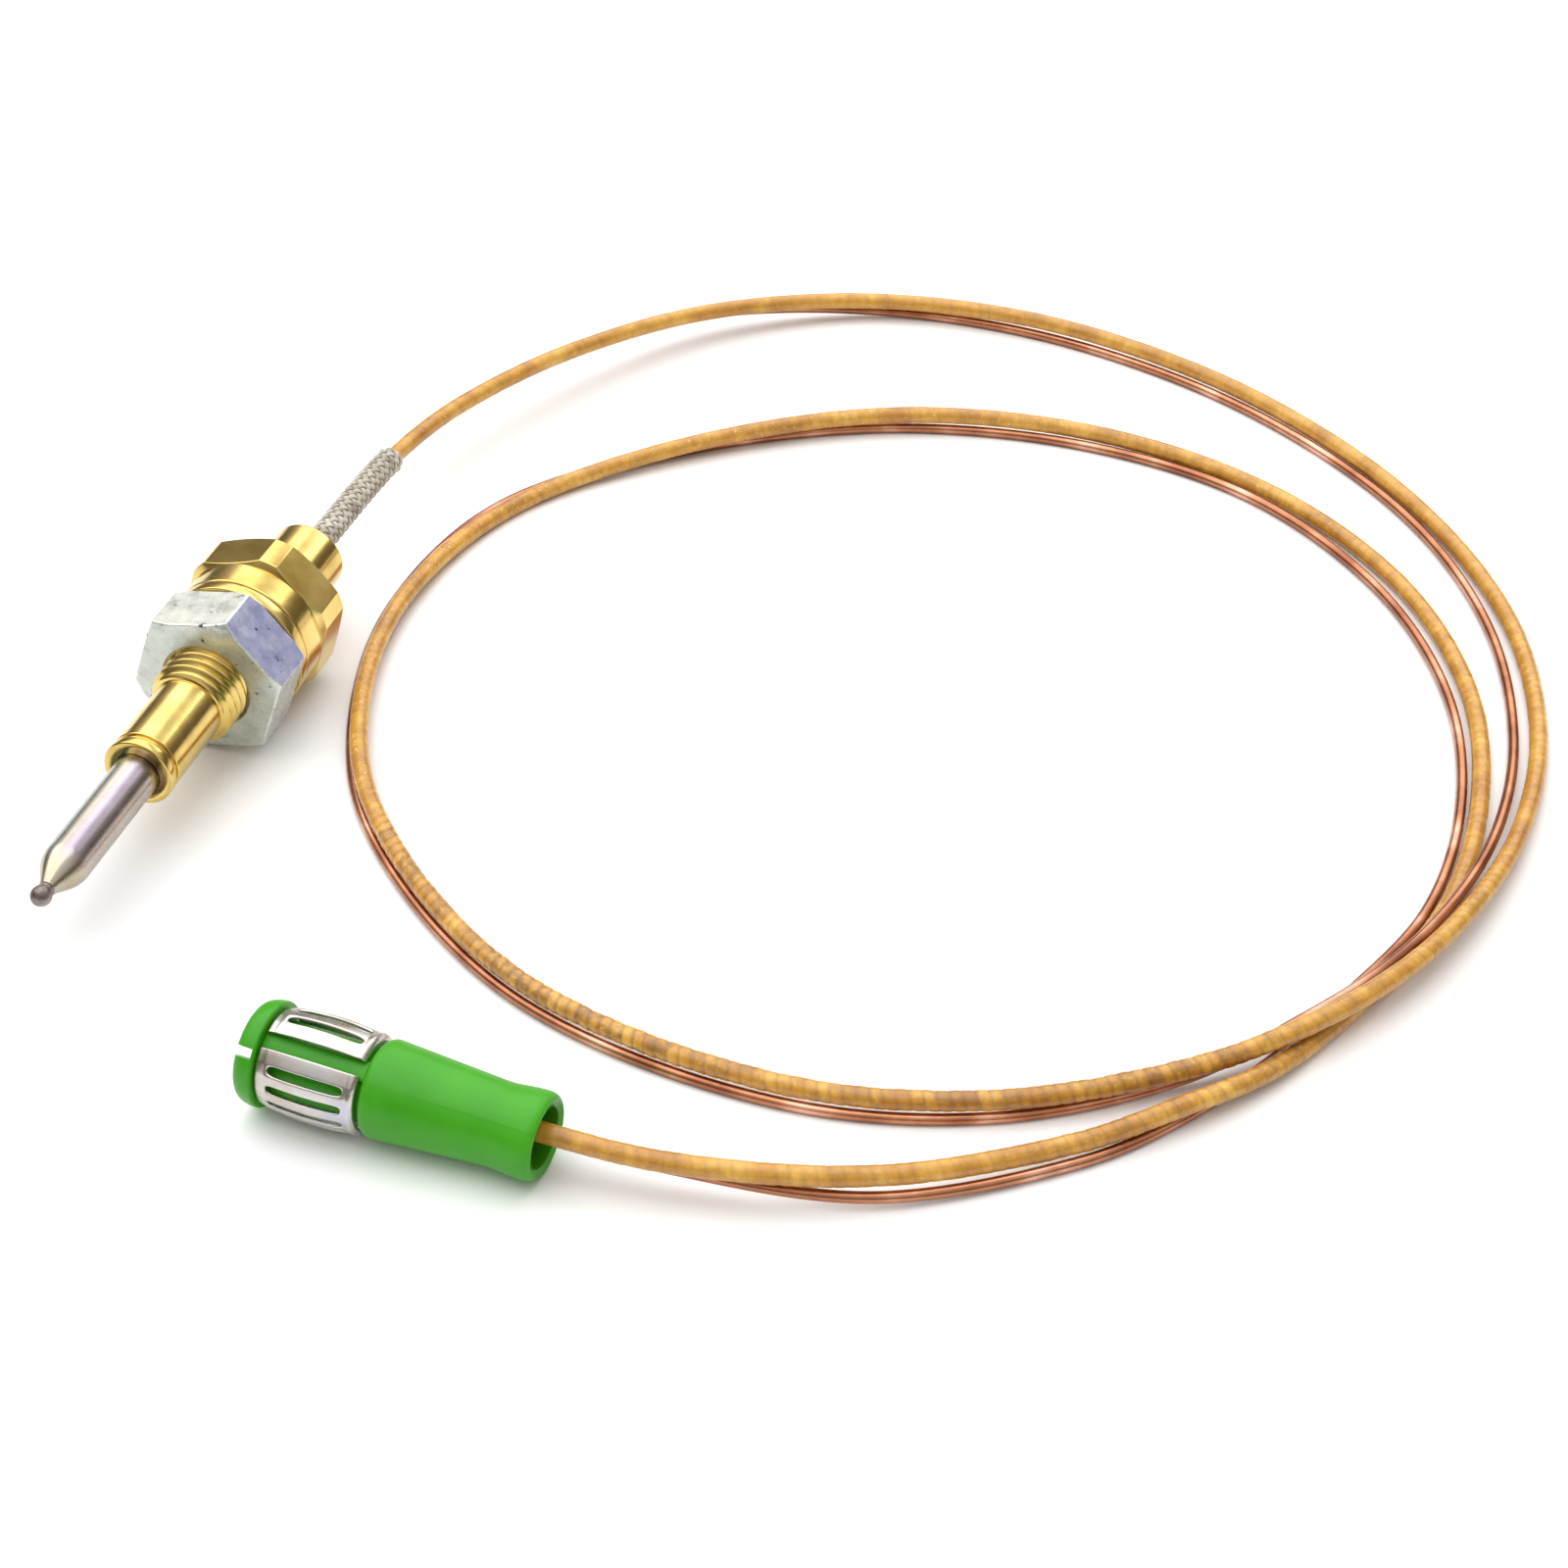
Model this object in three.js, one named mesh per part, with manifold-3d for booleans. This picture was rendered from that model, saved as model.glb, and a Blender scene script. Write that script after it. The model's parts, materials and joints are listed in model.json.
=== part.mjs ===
// A thermocouple for a heating appliance: a sheathed hot junction in a threaded brass body
// with a lock nut, an insulated lead, a bare copper return wire and a round green plug.
// Millimetres, +Z up. The sensor's tip points along -Y and the assembly lies on z = 0.

import * as THREE from 'three';
import * as BufferGeometryUtils from 'three/addons/utils/BufferGeometryUtils.js';
import Module from 'manifold-3d';

// ---------- driving dimensions ----------

const ROUND = 30;               // sides on a turned surface
const FINE_ROUND = 60;          // sides of the envelope that chamfers a hexagon
const SMALL_ROUND = 16;         // sides on a small turned piece
const PLUG_INNER_ROUND = 24;    // sides on the plug's inner tubes
const CORE_SIDES = 12;          // sides on a bared core
const FIT_GAP = 0.05;           // gap between coaxial pieces that sit in each other

const AXIS_HEIGHT = 7.2;        // the sensor's axis above the surface it lies on
const TIP_Y = -26.65;
const BODY_END_Y = 26.65;

const BEAD_RADIUS = 0.92;
const NECK_RADIUS = 0.75;
const NECK_Y = -24.75;
const TUBE_RADIUS = 2.06;
const TUBE_WALL = 0.36;
const TUBE_SHOULDER_Y = -21.15;
const CONE_FULLNESS = 1.1;      // the lower, the rounder the cone's shoulder
const TUBE_END_Y = 6;

const CORE_RADIUS = 0.3;
const CORE_END_Y = 18.4;
const SLEEVING_RADIUS = 1.45;
const SLEEVING_BORE_RADIUS = 0.42;
const SLEEVING_START_Y = -19.5;
const SLEEVING_END_Y = 13;
const SPLICE_RADIUS = 0.95;
const SPLICE_START_Y = 15.4;
const SPLICE_END_Y = 21.4;
const FERRULE_BORE_RADIUS = 0.4;
const LEAD_CORE_START_Y = 18.6;
const BUSH_BORE_RADIUS = 1.45;
const BUSH_START_Y = 23.2;
const BUSH_END_Y = 26.3;

const SLEEVE_FRONT_Y = -8.54;
const SLEEVE_RADIUS = 3.18;
const SLEEVE_FLANGE_RADIUS = 3.24;
const SLEEVE_FLANGE_WIDTH = 0.9;
const SLEEVE_GROOVE_RADIUS = 2.85;
const SLEEVE_GROOVE_WIDTH = 0.6;

const THREAD_PITCH = 1;
const THREAD_CREST_RADIUS = 3.94;
const THREAD_ROOT_RADIUS = 3.42;
const THREAD_CLEARANCE = 0.13;  // radial, between the nut's thread and the body's
const THREAD_START_Y = 1.15;
const THREAD_END_Y = 11.75;

const SHOULDER_RADIUS = 6.7;
const HEX_START_Y = 14.6;
const HEX_END_Y = 18.95;
const HEX_FLATS = 13.4;
const HEX_CORNER_RADIUS = 7.3;  // the corners are left round from the bar
const HEX_FACE_RADIUS = 6.55;   // where the chamfer meets the end face
const HEX_CHAMFER = 0.4;
const HEX_TURN = 14;            // degrees from +X towards +Z
const COLLAR_RADIUS = 3.53;
const COLLAR_BORE_RADIUS = 2.45;
const COLD_JUNCTION_BORE_RADIUS = 2.3;

const NUT_FRONT_Y = 4.75;
const NUT_BACK_Y = 10.35;
const NUT_FLATS = 13;
const NUT_TURN = 10;            // degrees from +X towards +Z
const NUT_FACE_RADIUS = 6.85;   // where the chamfer meets the end face
const NUT_MOUTH_RADIUS = 4.29;
const NUT_COUNTERSINK = 0.7;
const WASHER_START_Y = 10.42;
const WASHER_END_Y = 11.62;
const WASHER_RADIUS = 6.75;
const WASHER_BORE_RADIUS = 4.2;

const LEAD_DIAMETER = 1.7;
const LEAD_START_Y = 22.6;
const LEAD_GAP = 0.2;           // between the lead's insulation and its bared core
const WIRE_DIAMETER = 1.0;
const WIRE_SPACING = 1.42;      // least distance between the centres of the lead and the wire
const BRAID_RADIUS = 1.35;
const BRAID_BORE_RADIUS = 1.02;
const BRAID_START_Y = 23.4;
const CORD_SIDES = 8;
const STEPS_PER_ROW = 2;        // of the lead's route

const PLUG_FRONT = new THREE.Vector3(23.2, -34.65, 4.62);
const PLUG_HEADING = -93.3;     // degrees: turns the plug's own +Y, front to back, to its place
const PLUG_TILT = -2.35;        // degrees: the plug rests on its lower panel and its rear rim
const PLUG_LENGTH = 25;
const PLUG_FLANGE_RADIUS = 4.35;
const PLUG_FLANGE_WIDTH = 1.75;
const PLUG_CORE_RADIUS = 3.0;
const PLUG_BODY_START = 10.6;
const PLUG_BODY_RADIUS = 4.0;
const PLUG_WAIST_RADIUS = 3.36;
const PLUG_WAIST_Y = 21.2;
const PLUG_END_RADIUS = 3.6;
const PLUG_REAR_BORE_RADIUS = 2.5;
const PLUG_REAR_BORE_START = 12.8;
const PLUG_FRONT_BORE_RADIUS = 2.1;
const PLUG_MOUTH_RADIUS = 3.2;
const PLUG_MOUTH_DEPTH = 1.4;
const PLUG_THROAT_RADIUS = 2.4;
const PLUG_THROAT_DEPTH = 2.4;
const RIB_ANGLE = 62;           // degrees about the plug's axis, from its +X towards +Z
const RIB_WIDTH = 1.7;
const RIB_RADIUS = 3.45;        // lower than the panels' edges, which pass over it when pressed
const SLIT_WIDTH = 0.8;
const SLIT_ANGLE = 41;          // degrees, as RIB_ANGLE
const PANEL_EDGE_RADIUS = 3.98; // outer radius at the panel's two ends
const PANEL_BOW = 0.36;         // how far the panel bulges between its ends
const PANEL_THICKNESS = 0.36;
const PANEL_HALF_ANGLE = 80.5;
const SLOT_COUNT = 6;
const SLOT_SPACING = 23;         // degrees between slots
const SLOT_HALF_ANGLE = 5;
// Rows of a panel's cells along the plug. The slots are open from the second to the sixth.
const SLOT_ROWS_Y = [1.9, 3.0, 4.6, 6.2, 7.8, 9.4, 10.3];
const PANEL_MARGIN = 9;         // degrees from a panel's side edge to its next column

const SHELL_TUBE_BORE_RADIUS = 1.72;
const SHELL_TUBE_RADIUS = 1.98;
const SHELL_TUBE_START = 2.7;
const SHELL_TUBE_END = 12.4;
const INSULATOR_BORE_RADIUS = 0.95;
const INSULATOR_RADIUS = 1.6;
const INSULATOR_START = 2.0;
const INSULATOR_END = 12.8;
const PIN_RADIUS = 0.85;
const PIN_POINT_RADIUS = 0.6;
const PIN_START = 0.9;
const PIN_POINT_LENGTH = 0.3;
const PIN_END = 13.4;
const PLUG_CORE_START = 13.6;
const PLUG_CORE_END = 21.6;
const CORE_FERRULE_RADIUS = 0.62;
const CORE_FERRULE_START = 14.2;
const CORE_FERRULE_END = 20.5;
const CRIMP_BORE_RADIUS = 0.5;
const CRIMP_RADIUS = 0.7;
const CRIMP_START = 14.6;
const CRIMP_END = 21.5;

const LEAD_RISE_IN_PLUG = 0.4;      // the lead and its core lie above the plug's axis
const WIRE_SIDE_IN_PLUG = -0.8;
const WIRE_RISE_IN_PLUG = -0.75;

// The lead's route, picked point by point. Each row is
// [x, y, height of the lead, side offset of the copper wire, height of the copper wire].
// A positive side offset lies to the right of the direction of travel.
const LEAD_ROUTE = [
  [0, LEAD_START_Y, AXIS_HEIGHT, -0.75, 5.98],
  [0, 30.5, 7.17, -0.75, 5.95],
  [0.2, 46.5, 6.5, -0.75, 5.28],
  [2.4, 58.5, 5.9, -0.84, 4.74],
  [8.8, 74.2, 4.75, -0.96, 3.69],
  [19.2, 88.9, 3.2, -1.08, 2.25],
  [34.5, 98.1, 2.15, -0.45, 0.7],
  [52.4, 99.7, 1.95, 0.4, 0.52],
  [72.0, 94.6, 1.64, 0.95, 0.52],
  [88.7, 84.7, 1.28, 1.26, 0.52],
  [100.6, 73.2, 0.87, 1.65, 0.52],
  [109.4, 58.6, 0.87, 2.1, 0.52],
  [113.8, 42.5, 0.88, 2.2, 0.55],
  [114.1, 27.5, 1.5, 1.9, 1.5],
  [111.6, 14.6, 2.4, 1.55, 2.42],
  [107.4, 4.2, 2.9, 1.5, 2.45],
  [101.4, -4.6, 2.95, 1.45, 2.1],
  [92.8, -12.1, 2.2, 0.4, 0.75],
  [78.9, -19.9, 1.88, -0.55, 0.52],
  [62.4, -23.0, 1.74, -0.83, 0.52],
  [38.7, -17.9, 1.74, -0.83, 0.52],
  [18.5, -1.2, 1.74, -0.83, 0.52],
  [10.4, 14.4, 1.74, -0.83, 0.52],
  [7.6, 32.0, 1.42, -1.16, 0.52],
  [11.6, 50.0, 0.87, -1.48, 0.52],
  [25.5, 65.2, 1.72, -0.85, 0.52],
  [43.5, 76.1, 2.0, 0.1, 0.52],
  [63.0, 79.7, 1.52, 1.08, 0.52],
  [81.5, 75.8, 0.87, 1.65, 0.52],
  [97.2, 63.7, 0.87, 2.05, 0.52],
  [106.6, 47.8, 0.87, 1.95, 0.52],
  [110.1, 31.0, 0.87, 1.6, 0.52],
  [109.3, 14.6, 0.87, 1.5, 0.52],
  [103.9, 0.2, 0.87, 1.5, 0.52],
  [99.0, -9.4, 1.35, 1.2, 0.52],
  [93.6, -15.9, 2.0, 0.1, 0.52],
  [86.4, -22.2, 1.6, -1.0, 0.52],
  [72.7, -31.2, 2.45, -0.8, 0.95],
  [57.4, -35.7, 3.6, 0.85, 2.15],
  [44.96, -35.9, 4.13, 0.83, 2.98],
];
// Where the cords start and end, counted in rows of the route.
const BRAID_END_ROW = 1.97;
const WIRE_START_ROW = 2;
const WIRE_END_ROW = LEAD_ROUTE.length - 1;
const LEAD_END_ROW = LEAD_ROUTE.length - 1;

// ---------- materials ----------

function finish(color, roughness, metalness) {
  return new THREE.MeshStandardMaterial({ color, roughness, metalness });
}

const brass = finish('#c9a24f', 0.3, 1);
const zinc = finish('#b9bccb', 0.38, 1);
const nickelTube = finish('#aeb0b4', 0.3, 1);
const weldedAlloy = finish('#55505c', 0.5, 1);
const constantan = finish('#b6a690', 0.4, 1);
const glassFibre = finish('#e4dfd0', 0.9, 0);
const braidedFibre = finish('#a79c8d', 0.9, 0);
const amberVarnish = finish('#c78a2e', 0.4, 0);
const copper = finish('#c07c58', 0.32, 1);
const greenPlastic = finish('#46a124', 0.35, 0);
const contactMetal = finish('#c8c4c2', 0.28, 1);
const whitePlastic = finish('#ecece6', 0.5, 0);

// ---------- solids ----------

const wasm = await Module();
wasm.setup();

function toManifold(geometry) {
  const bare = geometry.clone();
  bare.deleteAttribute('normal');
  bare.deleteAttribute('uv');
  const merged = BufferGeometryUtils.mergeVertices(bare, 1e-4);
  return new wasm.Manifold(new wasm.Mesh({
    numProp: 3,
    vertProperties: new Float32Array(merged.attributes.position.array),
    triVerts: new Uint32Array(merged.index.array),
  }));
}

function toGeometry(solid) {
  const mesh = solid.getMesh();
  const geometry = new THREE.BufferGeometry();
  geometry.setAttribute('position', new THREE.BufferAttribute(mesh.vertProperties, 3));
  geometry.setIndex(new THREE.BufferAttribute(mesh.triVerts, 1));
  geometry.computeVertexNormals();
  return geometry;
}

// A surface of revolution about Y. The outline is a list of [radius, y] that starts and ends
// on the axis, or is closed by repeating its first point. A last number sets the sides.
function turned(outline, sides = ROUND) {
  const points = outline.map(([radius, y]) => new THREE.Vector2(radius, y));
  return new THREE.LatheGeometry(points, sides);
}

function turnedRing(inner, outer, start, end, sides = ROUND) {
  return turned([[inner, start], [outer, start], [outer, end], [inner, end], [inner, start]], sides);
}

function turnedRod(radius, start, end, sides = SMALL_ROUND) {
  return turned([[0, start], [radius, start], [radius, end], [0, end]], sides);
}

// A hexagonal bar along Y with one corner at `turn` degrees from +X towards +Z.
function hexBar(acrossFlats, start, end, turn) {
  const cornerRadius = acrossFlats / 2 / Math.cos(Math.PI / 6);
  const corners = [];
  for (let i = 0; i < 6; i += 1) {
    const angle = THREE.MathUtils.degToRad(turn + 60 * i);
    corners.push(new THREE.Vector2(cornerRadius * Math.cos(angle), cornerRadius * Math.sin(angle)));
  }
  const shape = new THREE.Shape(corners);
  const bar = new THREE.ExtrudeGeometry(shape, { depth: end - start, bevelEnabled: false });
  bar.rotateX(Math.PI / 2);
  bar.translate(0, end, 0);
  return bar;
}

// A right-handed V thread about Y as one closed solid, with a ragged turn at each end that
// the caller trims. Points run along the helix, so crest and root edges follow the thread.
function threadedRod(crest, root, start, end) {
  const turns = Math.ceil((end - start) / THREAD_PITCH) + 3;
  const count = turns * ROUND;
  const positions = [];
  const triangles = [];
  const base = start - 1.5 * THREAD_PITCH;
  for (let i = 0; i <= count; i += 1) {
    const angle = -2 * Math.PI * i / ROUND;
    const y = base + THREAD_PITCH * i / ROUND;
    positions.push(crest * Math.cos(angle), y, crest * Math.sin(angle));
    positions.push(root * Math.cos(angle), y + THREAD_PITCH / 2, root * Math.sin(angle));
  }
  const crestAt = (i) => 2 * i;
  const rootAt = (i) => 2 * i + 1;
  const quad = (a, b, c, d) => triangles.push(a, b, c, a, c, d);
  for (let i = 0; i < count; i += 1) {
    quad(crestAt(i), crestAt(i + 1), rootAt(i + 1), rootAt(i));
    if (i + 1 + ROUND <= count) {
      quad(rootAt(i), rootAt(i + 1), crestAt(i + 1 + ROUND), crestAt(i + ROUND));
    }
  }
  const bottom = positions.length / 3;
  positions.push(0, base - THREAD_PITCH, 0);
  for (let i = 0; i < ROUND; i += 1) {
    triangles.push(bottom, crestAt(i + 1), crestAt(i));
  }
  triangles.push(bottom, rootAt(0), crestAt(ROUND));
  triangles.push(bottom, crestAt(0), rootAt(0));
  const top = positions.length / 3;
  positions.push(0, base + THREAD_PITCH * (turns + 2), 0);
  for (let i = count - ROUND; i < count; i += 1) {
    triangles.push(top, rootAt(i), rootAt(i + 1));
  }
  triangles.push(top, rootAt(count), crestAt(count));
  triangles.push(top, crestAt(count), rootAt(count - ROUND));
  const rod = new THREE.BufferGeometry();
  rod.setAttribute('position', new THREE.BufferAttribute(new Float32Array(positions), 3));
  rod.setIndex(triangles);
  return rod;
}

// A closed plate made of cells: every cell has an outer and an inner face, and a wall is built
// wherever a cell meets an open one or the plate's edge. place(column, row, side) gives a corner.
function cellPlate(columns, rows, isOpen, place) {
  const positions = [];
  const face = (a, b, c, d) => {
    for (const corner of [a, b, c, a, c, d]) positions.push(corner.x, corner.y, corner.z);
  };
  const closed = (i, j) => i >= 0 && j >= 0 && i < columns && j < rows && !isOpen(i, j);
  for (let i = 0; i < columns; i += 1) {
    for (let j = 0; j < rows; j += 1) {
      if (!closed(i, j)) continue;
      const out = [place(i, j, 1), place(i + 1, j, 1), place(i + 1, j + 1, 1), place(i, j + 1, 1)];
      const inn = [place(i, j, 0), place(i + 1, j, 0), place(i + 1, j + 1, 0), place(i, j + 1, 0)];
      face(out[3], out[2], out[1], out[0]);
      face(inn[0], inn[1], inn[2], inn[3]);
      const neighbours = [[i, j - 1], [i + 1, j], [i, j + 1], [i - 1, j]];
      neighbours.forEach(([ni, nj], k) => {
        const next = (k + 1) % 4;
        if (!closed(ni, nj)) face(out[k], out[next], inn[next], inn[k]);
      });
    }
  }
  const plate = new THREE.BufferGeometry();
  plate.setAttribute('position', new THREE.BufferAttribute(new Float32Array(positions), 3));
  return BufferGeometryUtils.mergeVertices(plate, 1e-5);
}

// ---------- cords ----------

const leadRoute = new THREE.CatmullRomCurve3(
  LEAD_ROUTE.map(([x, y, height]) => new THREE.Vector3(x, y, height)), false, 'centripetal');
const wireLay = new THREE.CatmullRomCurve3(
  LEAD_ROUTE.map(([, , , side, height]) => new THREE.Vector3(side, height, 0)), false, 'catmullrom', 0.5);

// A stretch of the lead's route, from one route row to another. Its steps keep to the route's
// own parameter, so that the facets of the pieces that run side by side line up.
class LeadStretch extends THREE.Curve {
  constructor(firstRow, lastRow) {
    super();
    this.first = firstRow / (LEAD_ROUTE.length - 1);
    this.last = lastRow / (LEAD_ROUTE.length - 1);
  }

  routeParameter(t) {
    return THREE.MathUtils.lerp(this.first, this.last, t);
  }

  getPoint(t) {
    const point = leadRoute.getPoint(this.routeParameter(t));
    point.z = Math.max(point.z, LEAD_DIAMETER / 2);
    return point;
  }

  getPointAt(t) {
    return this.getPoint(t);
  }

  getTangentAt(t) {
    return this.getTangent(t);
  }
}

class WireStretch extends LeadStretch {
  getPoint(t) {
    const parameter = this.routeParameter(t);
    const point = super.getPoint(t);
    const tangent = leadRoute.getTangent(parameter);
    const lay = wireLay.getPoint(parameter);
    const right = new THREE.Vector3(tangent.y, -tangent.x, 0).normalize();
    const drop = point.z - lay.y;
    const leastSide = Math.sqrt(Math.max(0, WIRE_SPACING ** 2 - drop ** 2));
    point.addScaledVector(right, Math.sign(lay.x) * Math.max(Math.abs(lay.x), leastSide));
    point.z = Math.max(lay.y, WIRE_DIAMETER / 2);
    return point;
  }
}

function circleShape(radius, sides) {
  const corners = [];
  for (let i = 0; i < sides; i += 1) {
    const angle = 2 * Math.PI * i / sides;
    corners.push(new THREE.Vector2(radius * Math.cos(angle), radius * Math.sin(angle)));
  }
  return new THREE.Shape(corners);
}

function cordAlong(curve, shape, steps) {
  return new THREE.ExtrudeGeometry(shape, { steps, extrudePath: curve, bevelEnabled: false });
}

function cord(Stretch, firstRow, lastRow, diameter) {
  const steps = Math.round((lastRow - firstRow) * STEPS_PER_ROW);
  return cordAlong(new Stretch(firstRow, lastRow), circleShape(diameter / 2, CORD_SIDES), steps);
}

function braidedSleeve() {
  const shape = circleShape(BRAID_RADIUS, 12);
  shape.holes.push(circleShape(BRAID_BORE_RADIUS, 12));
  const firstRow = (BRAID_START_Y - LEAD_START_Y) / (LEAD_ROUTE[1][1] - LEAD_START_Y);
  return cordAlong(new LeadStretch(firstRow, BRAID_END_ROW), shape, 8);
}

// ---------- sensor head ----------

function hotJunctionBead() {
  const centre = TIP_Y + BEAD_RADIUS;
  const outline = [];
  const arcSteps = 8;
  const lastAngle = Math.PI - Math.asin(NECK_RADIUS / BEAD_RADIUS);
  for (let i = 0; i <= arcSteps; i += 1) {
    const angle = lastAngle * i / arcSteps;
    outline.push([BEAD_RADIUS * Math.sin(angle), centre - BEAD_RADIUS * Math.cos(angle)]);
  }
  const back = NECK_Y - FIT_GAP;
  outline.push([NECK_RADIUS, back], [0, back]);
  return turned(outline, 20);
}

// The tube is swaged to a blunt cone at the tip, where the hot junction is welded.
function sheathTube() {
  const outline = [[CORE_RADIUS + FIT_GAP, NECK_Y]];
  const coneSteps = 6;
  for (let i = 0; i <= coneSteps; i += 1) {
    const u = i / coneSteps;
    const bulge = Math.sin(u * Math.PI / 2) ** CONE_FULLNESS;
    outline.push([
      THREE.MathUtils.lerp(NECK_RADIUS + 0.05, TUBE_RADIUS, bulge),
      THREE.MathUtils.lerp(NECK_Y + 0.25, TUBE_SHOULDER_Y, u),
    ]);
  }
  outline.splice(1, 0, [NECK_RADIUS, NECK_Y]);
  const boreRadius = TUBE_RADIUS - TUBE_WALL;
  outline.push([TUBE_RADIUS, TUBE_END_Y], [boreRadius, TUBE_END_Y]);
  outline.push([boreRadius, TUBE_SHOULDER_Y + 0.5], [CORE_RADIUS + FIT_GAP, NECK_Y + 1.4]);
  outline.push([CORE_RADIUS + FIT_GAP, NECK_Y]);
  return turned(outline);
}

function brassBody() {
  const grooveStart = SLEEVE_FRONT_Y + SLEEVE_FLANGE_WIDTH;
  const grooveEnd = grooveStart + SLEEVE_GROOVE_WIDTH;
  const edge = 0.25;
  const outside = turned([
    [0, SLEEVE_FRONT_Y],
    [SLEEVE_FLANGE_RADIUS - edge, SLEEVE_FRONT_Y],
    [SLEEVE_FLANGE_RADIUS, SLEEVE_FRONT_Y + edge],
    [SLEEVE_FLANGE_RADIUS, grooveStart],
    [SLEEVE_GROOVE_RADIUS, grooveStart + 0.05],
    [SLEEVE_GROOVE_RADIUS, grooveEnd - 0.05],
    [SLEEVE_RADIUS, grooveEnd],
    [SLEEVE_RADIUS, THREAD_START_Y + 0.2],
    [THREAD_ROOT_RADIUS - 0.04, THREAD_START_Y + 0.3],
    [THREAD_ROOT_RADIUS - 0.04, THREAD_END_Y],
    [SHOULDER_RADIUS - edge, THREAD_END_Y],
    [SHOULDER_RADIUS, THREAD_END_Y + edge],
    [SHOULDER_RADIUS, HEX_START_Y + 0.2],
    [COLLAR_RADIUS, HEX_START_Y + 0.25],
    [COLLAR_RADIUS, BODY_END_Y - edge],
    [COLLAR_RADIUS - edge, BODY_END_Y],
    [0, BODY_END_Y],
  ]);
  const threadEnvelope = turned([
    [0, THREAD_START_Y],
    [THREAD_ROOT_RADIUS, THREAD_START_Y],
    [THREAD_CREST_RADIUS + 0.1, THREAD_START_Y + 0.6],
    [THREAD_CREST_RADIUS + 0.1, THREAD_END_Y + 0.1],
    [0, THREAD_END_Y + 0.1],
  ]);
  const thread = toManifold(threadedRod(
    THREAD_CREST_RADIUS, THREAD_ROOT_RADIUS, THREAD_START_Y, THREAD_END_Y));
  const hexEnvelope = turned([
    [0, HEX_START_Y],
    [HEX_FACE_RADIUS, HEX_START_Y],
    [HEX_CORNER_RADIUS, HEX_START_Y + HEX_CHAMFER],
    [HEX_CORNER_RADIUS, HEX_END_Y - HEX_CHAMFER],
    [HEX_FACE_RADIUS, HEX_END_Y],
    [0, HEX_END_Y],
  ], FINE_ROUND);
  const hex = toManifold(hexBar(HEX_FLATS, HEX_START_Y - 1, HEX_END_Y + 1, HEX_TURN));
  const bore = turned([
    [0, SLEEVE_FRONT_Y - 1],
    [TUBE_RADIUS + FIT_GAP, SLEEVE_FRONT_Y - 1],
    [TUBE_RADIUS + FIT_GAP, TUBE_END_Y + 0.1],
    [COLD_JUNCTION_BORE_RADIUS, TUBE_END_Y + 0.4],
    [COLD_JUNCTION_BORE_RADIUS, BRAID_START_Y - 1],
    [COLLAR_BORE_RADIUS, BRAID_START_Y - 0.9],
    [COLLAR_BORE_RADIUS, BODY_END_Y + 1],
    [0, BODY_END_Y + 1],
  ]);
  return toGeometry(toManifold(outside)
    .add(thread.intersect(toManifold(threadEnvelope)))
    .add(hex.intersect(toManifold(hexEnvelope)))
    .subtract(toManifold(bore)));
}

function lockNut() {
  const cornerRadius = NUT_FLATS / 2 / Math.cos(Math.PI / 6) + 0.05;
  const chamfer = (cornerRadius - NUT_FACE_RADIUS) * Math.tan(Math.PI / 6);
  const envelope = turned([
    [0, NUT_FRONT_Y],
    [NUT_FACE_RADIUS, NUT_FRONT_Y],
    [cornerRadius, NUT_FRONT_Y + chamfer],
    [cornerRadius, NUT_BACK_Y - chamfer],
    [NUT_FACE_RADIUS, NUT_BACK_Y],
    [0, NUT_BACK_Y],
  ], FINE_ROUND);
  const thread = threadedRod(
    THREAD_CREST_RADIUS + THREAD_CLEARANCE, THREAD_ROOT_RADIUS + THREAD_CLEARANCE,
    THREAD_START_Y, THREAD_END_Y);
  const mouth = NUT_MOUTH_RADIUS;
  const throat = mouth - NUT_COUNTERSINK;
  const frontCountersink = turned([
    [0, NUT_FRONT_Y - 1],
    [mouth, NUT_FRONT_Y - 1],
    [mouth, NUT_FRONT_Y],
    [throat, NUT_FRONT_Y + NUT_COUNTERSINK],
    [0, NUT_FRONT_Y + NUT_COUNTERSINK],
  ]);
  const backCountersink = turned([
    [0, NUT_BACK_Y - NUT_COUNTERSINK],
    [throat, NUT_BACK_Y - NUT_COUNTERSINK],
    [mouth, NUT_BACK_Y],
    [mouth, NUT_BACK_Y + 1],
    [0, NUT_BACK_Y + 1],
  ]);
  return toGeometry(toManifold(hexBar(NUT_FLATS, NUT_FRONT_Y - 1, NUT_BACK_Y + 1, NUT_TURN))
    .intersect(toManifold(envelope))
    .subtract(toManifold(thread))
    .subtract(toManifold(frontCountersink))
    .subtract(toManifold(backCountersink)));
}

function seatWasher() {
  const edge = 0.2;
  return turned([
    [WASHER_BORE_RADIUS, WASHER_START_Y],
    [WASHER_RADIUS - edge, WASHER_START_Y],
    [WASHER_RADIUS, WASHER_START_Y + edge],
    [WASHER_RADIUS, WASHER_END_Y - edge],
    [WASHER_RADIUS - edge, WASHER_END_Y],
    [WASHER_BORE_RADIUS, WASHER_END_Y],
    [WASHER_BORE_RADIUS, WASHER_START_Y],
  ]);
}

// ---------- plug: its own frame has the front face at y = 0 and its axis along Y ----------

function radialBox(width, inner, outer, start, end, angle) {
  const box = new THREE.BoxGeometry(outer - inner, end - start, width);
  box.translate((inner + outer) / 2, (start + end) / 2, 0);
  box.rotateY(-THREE.MathUtils.degToRad(angle));
  return box;
}

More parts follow.
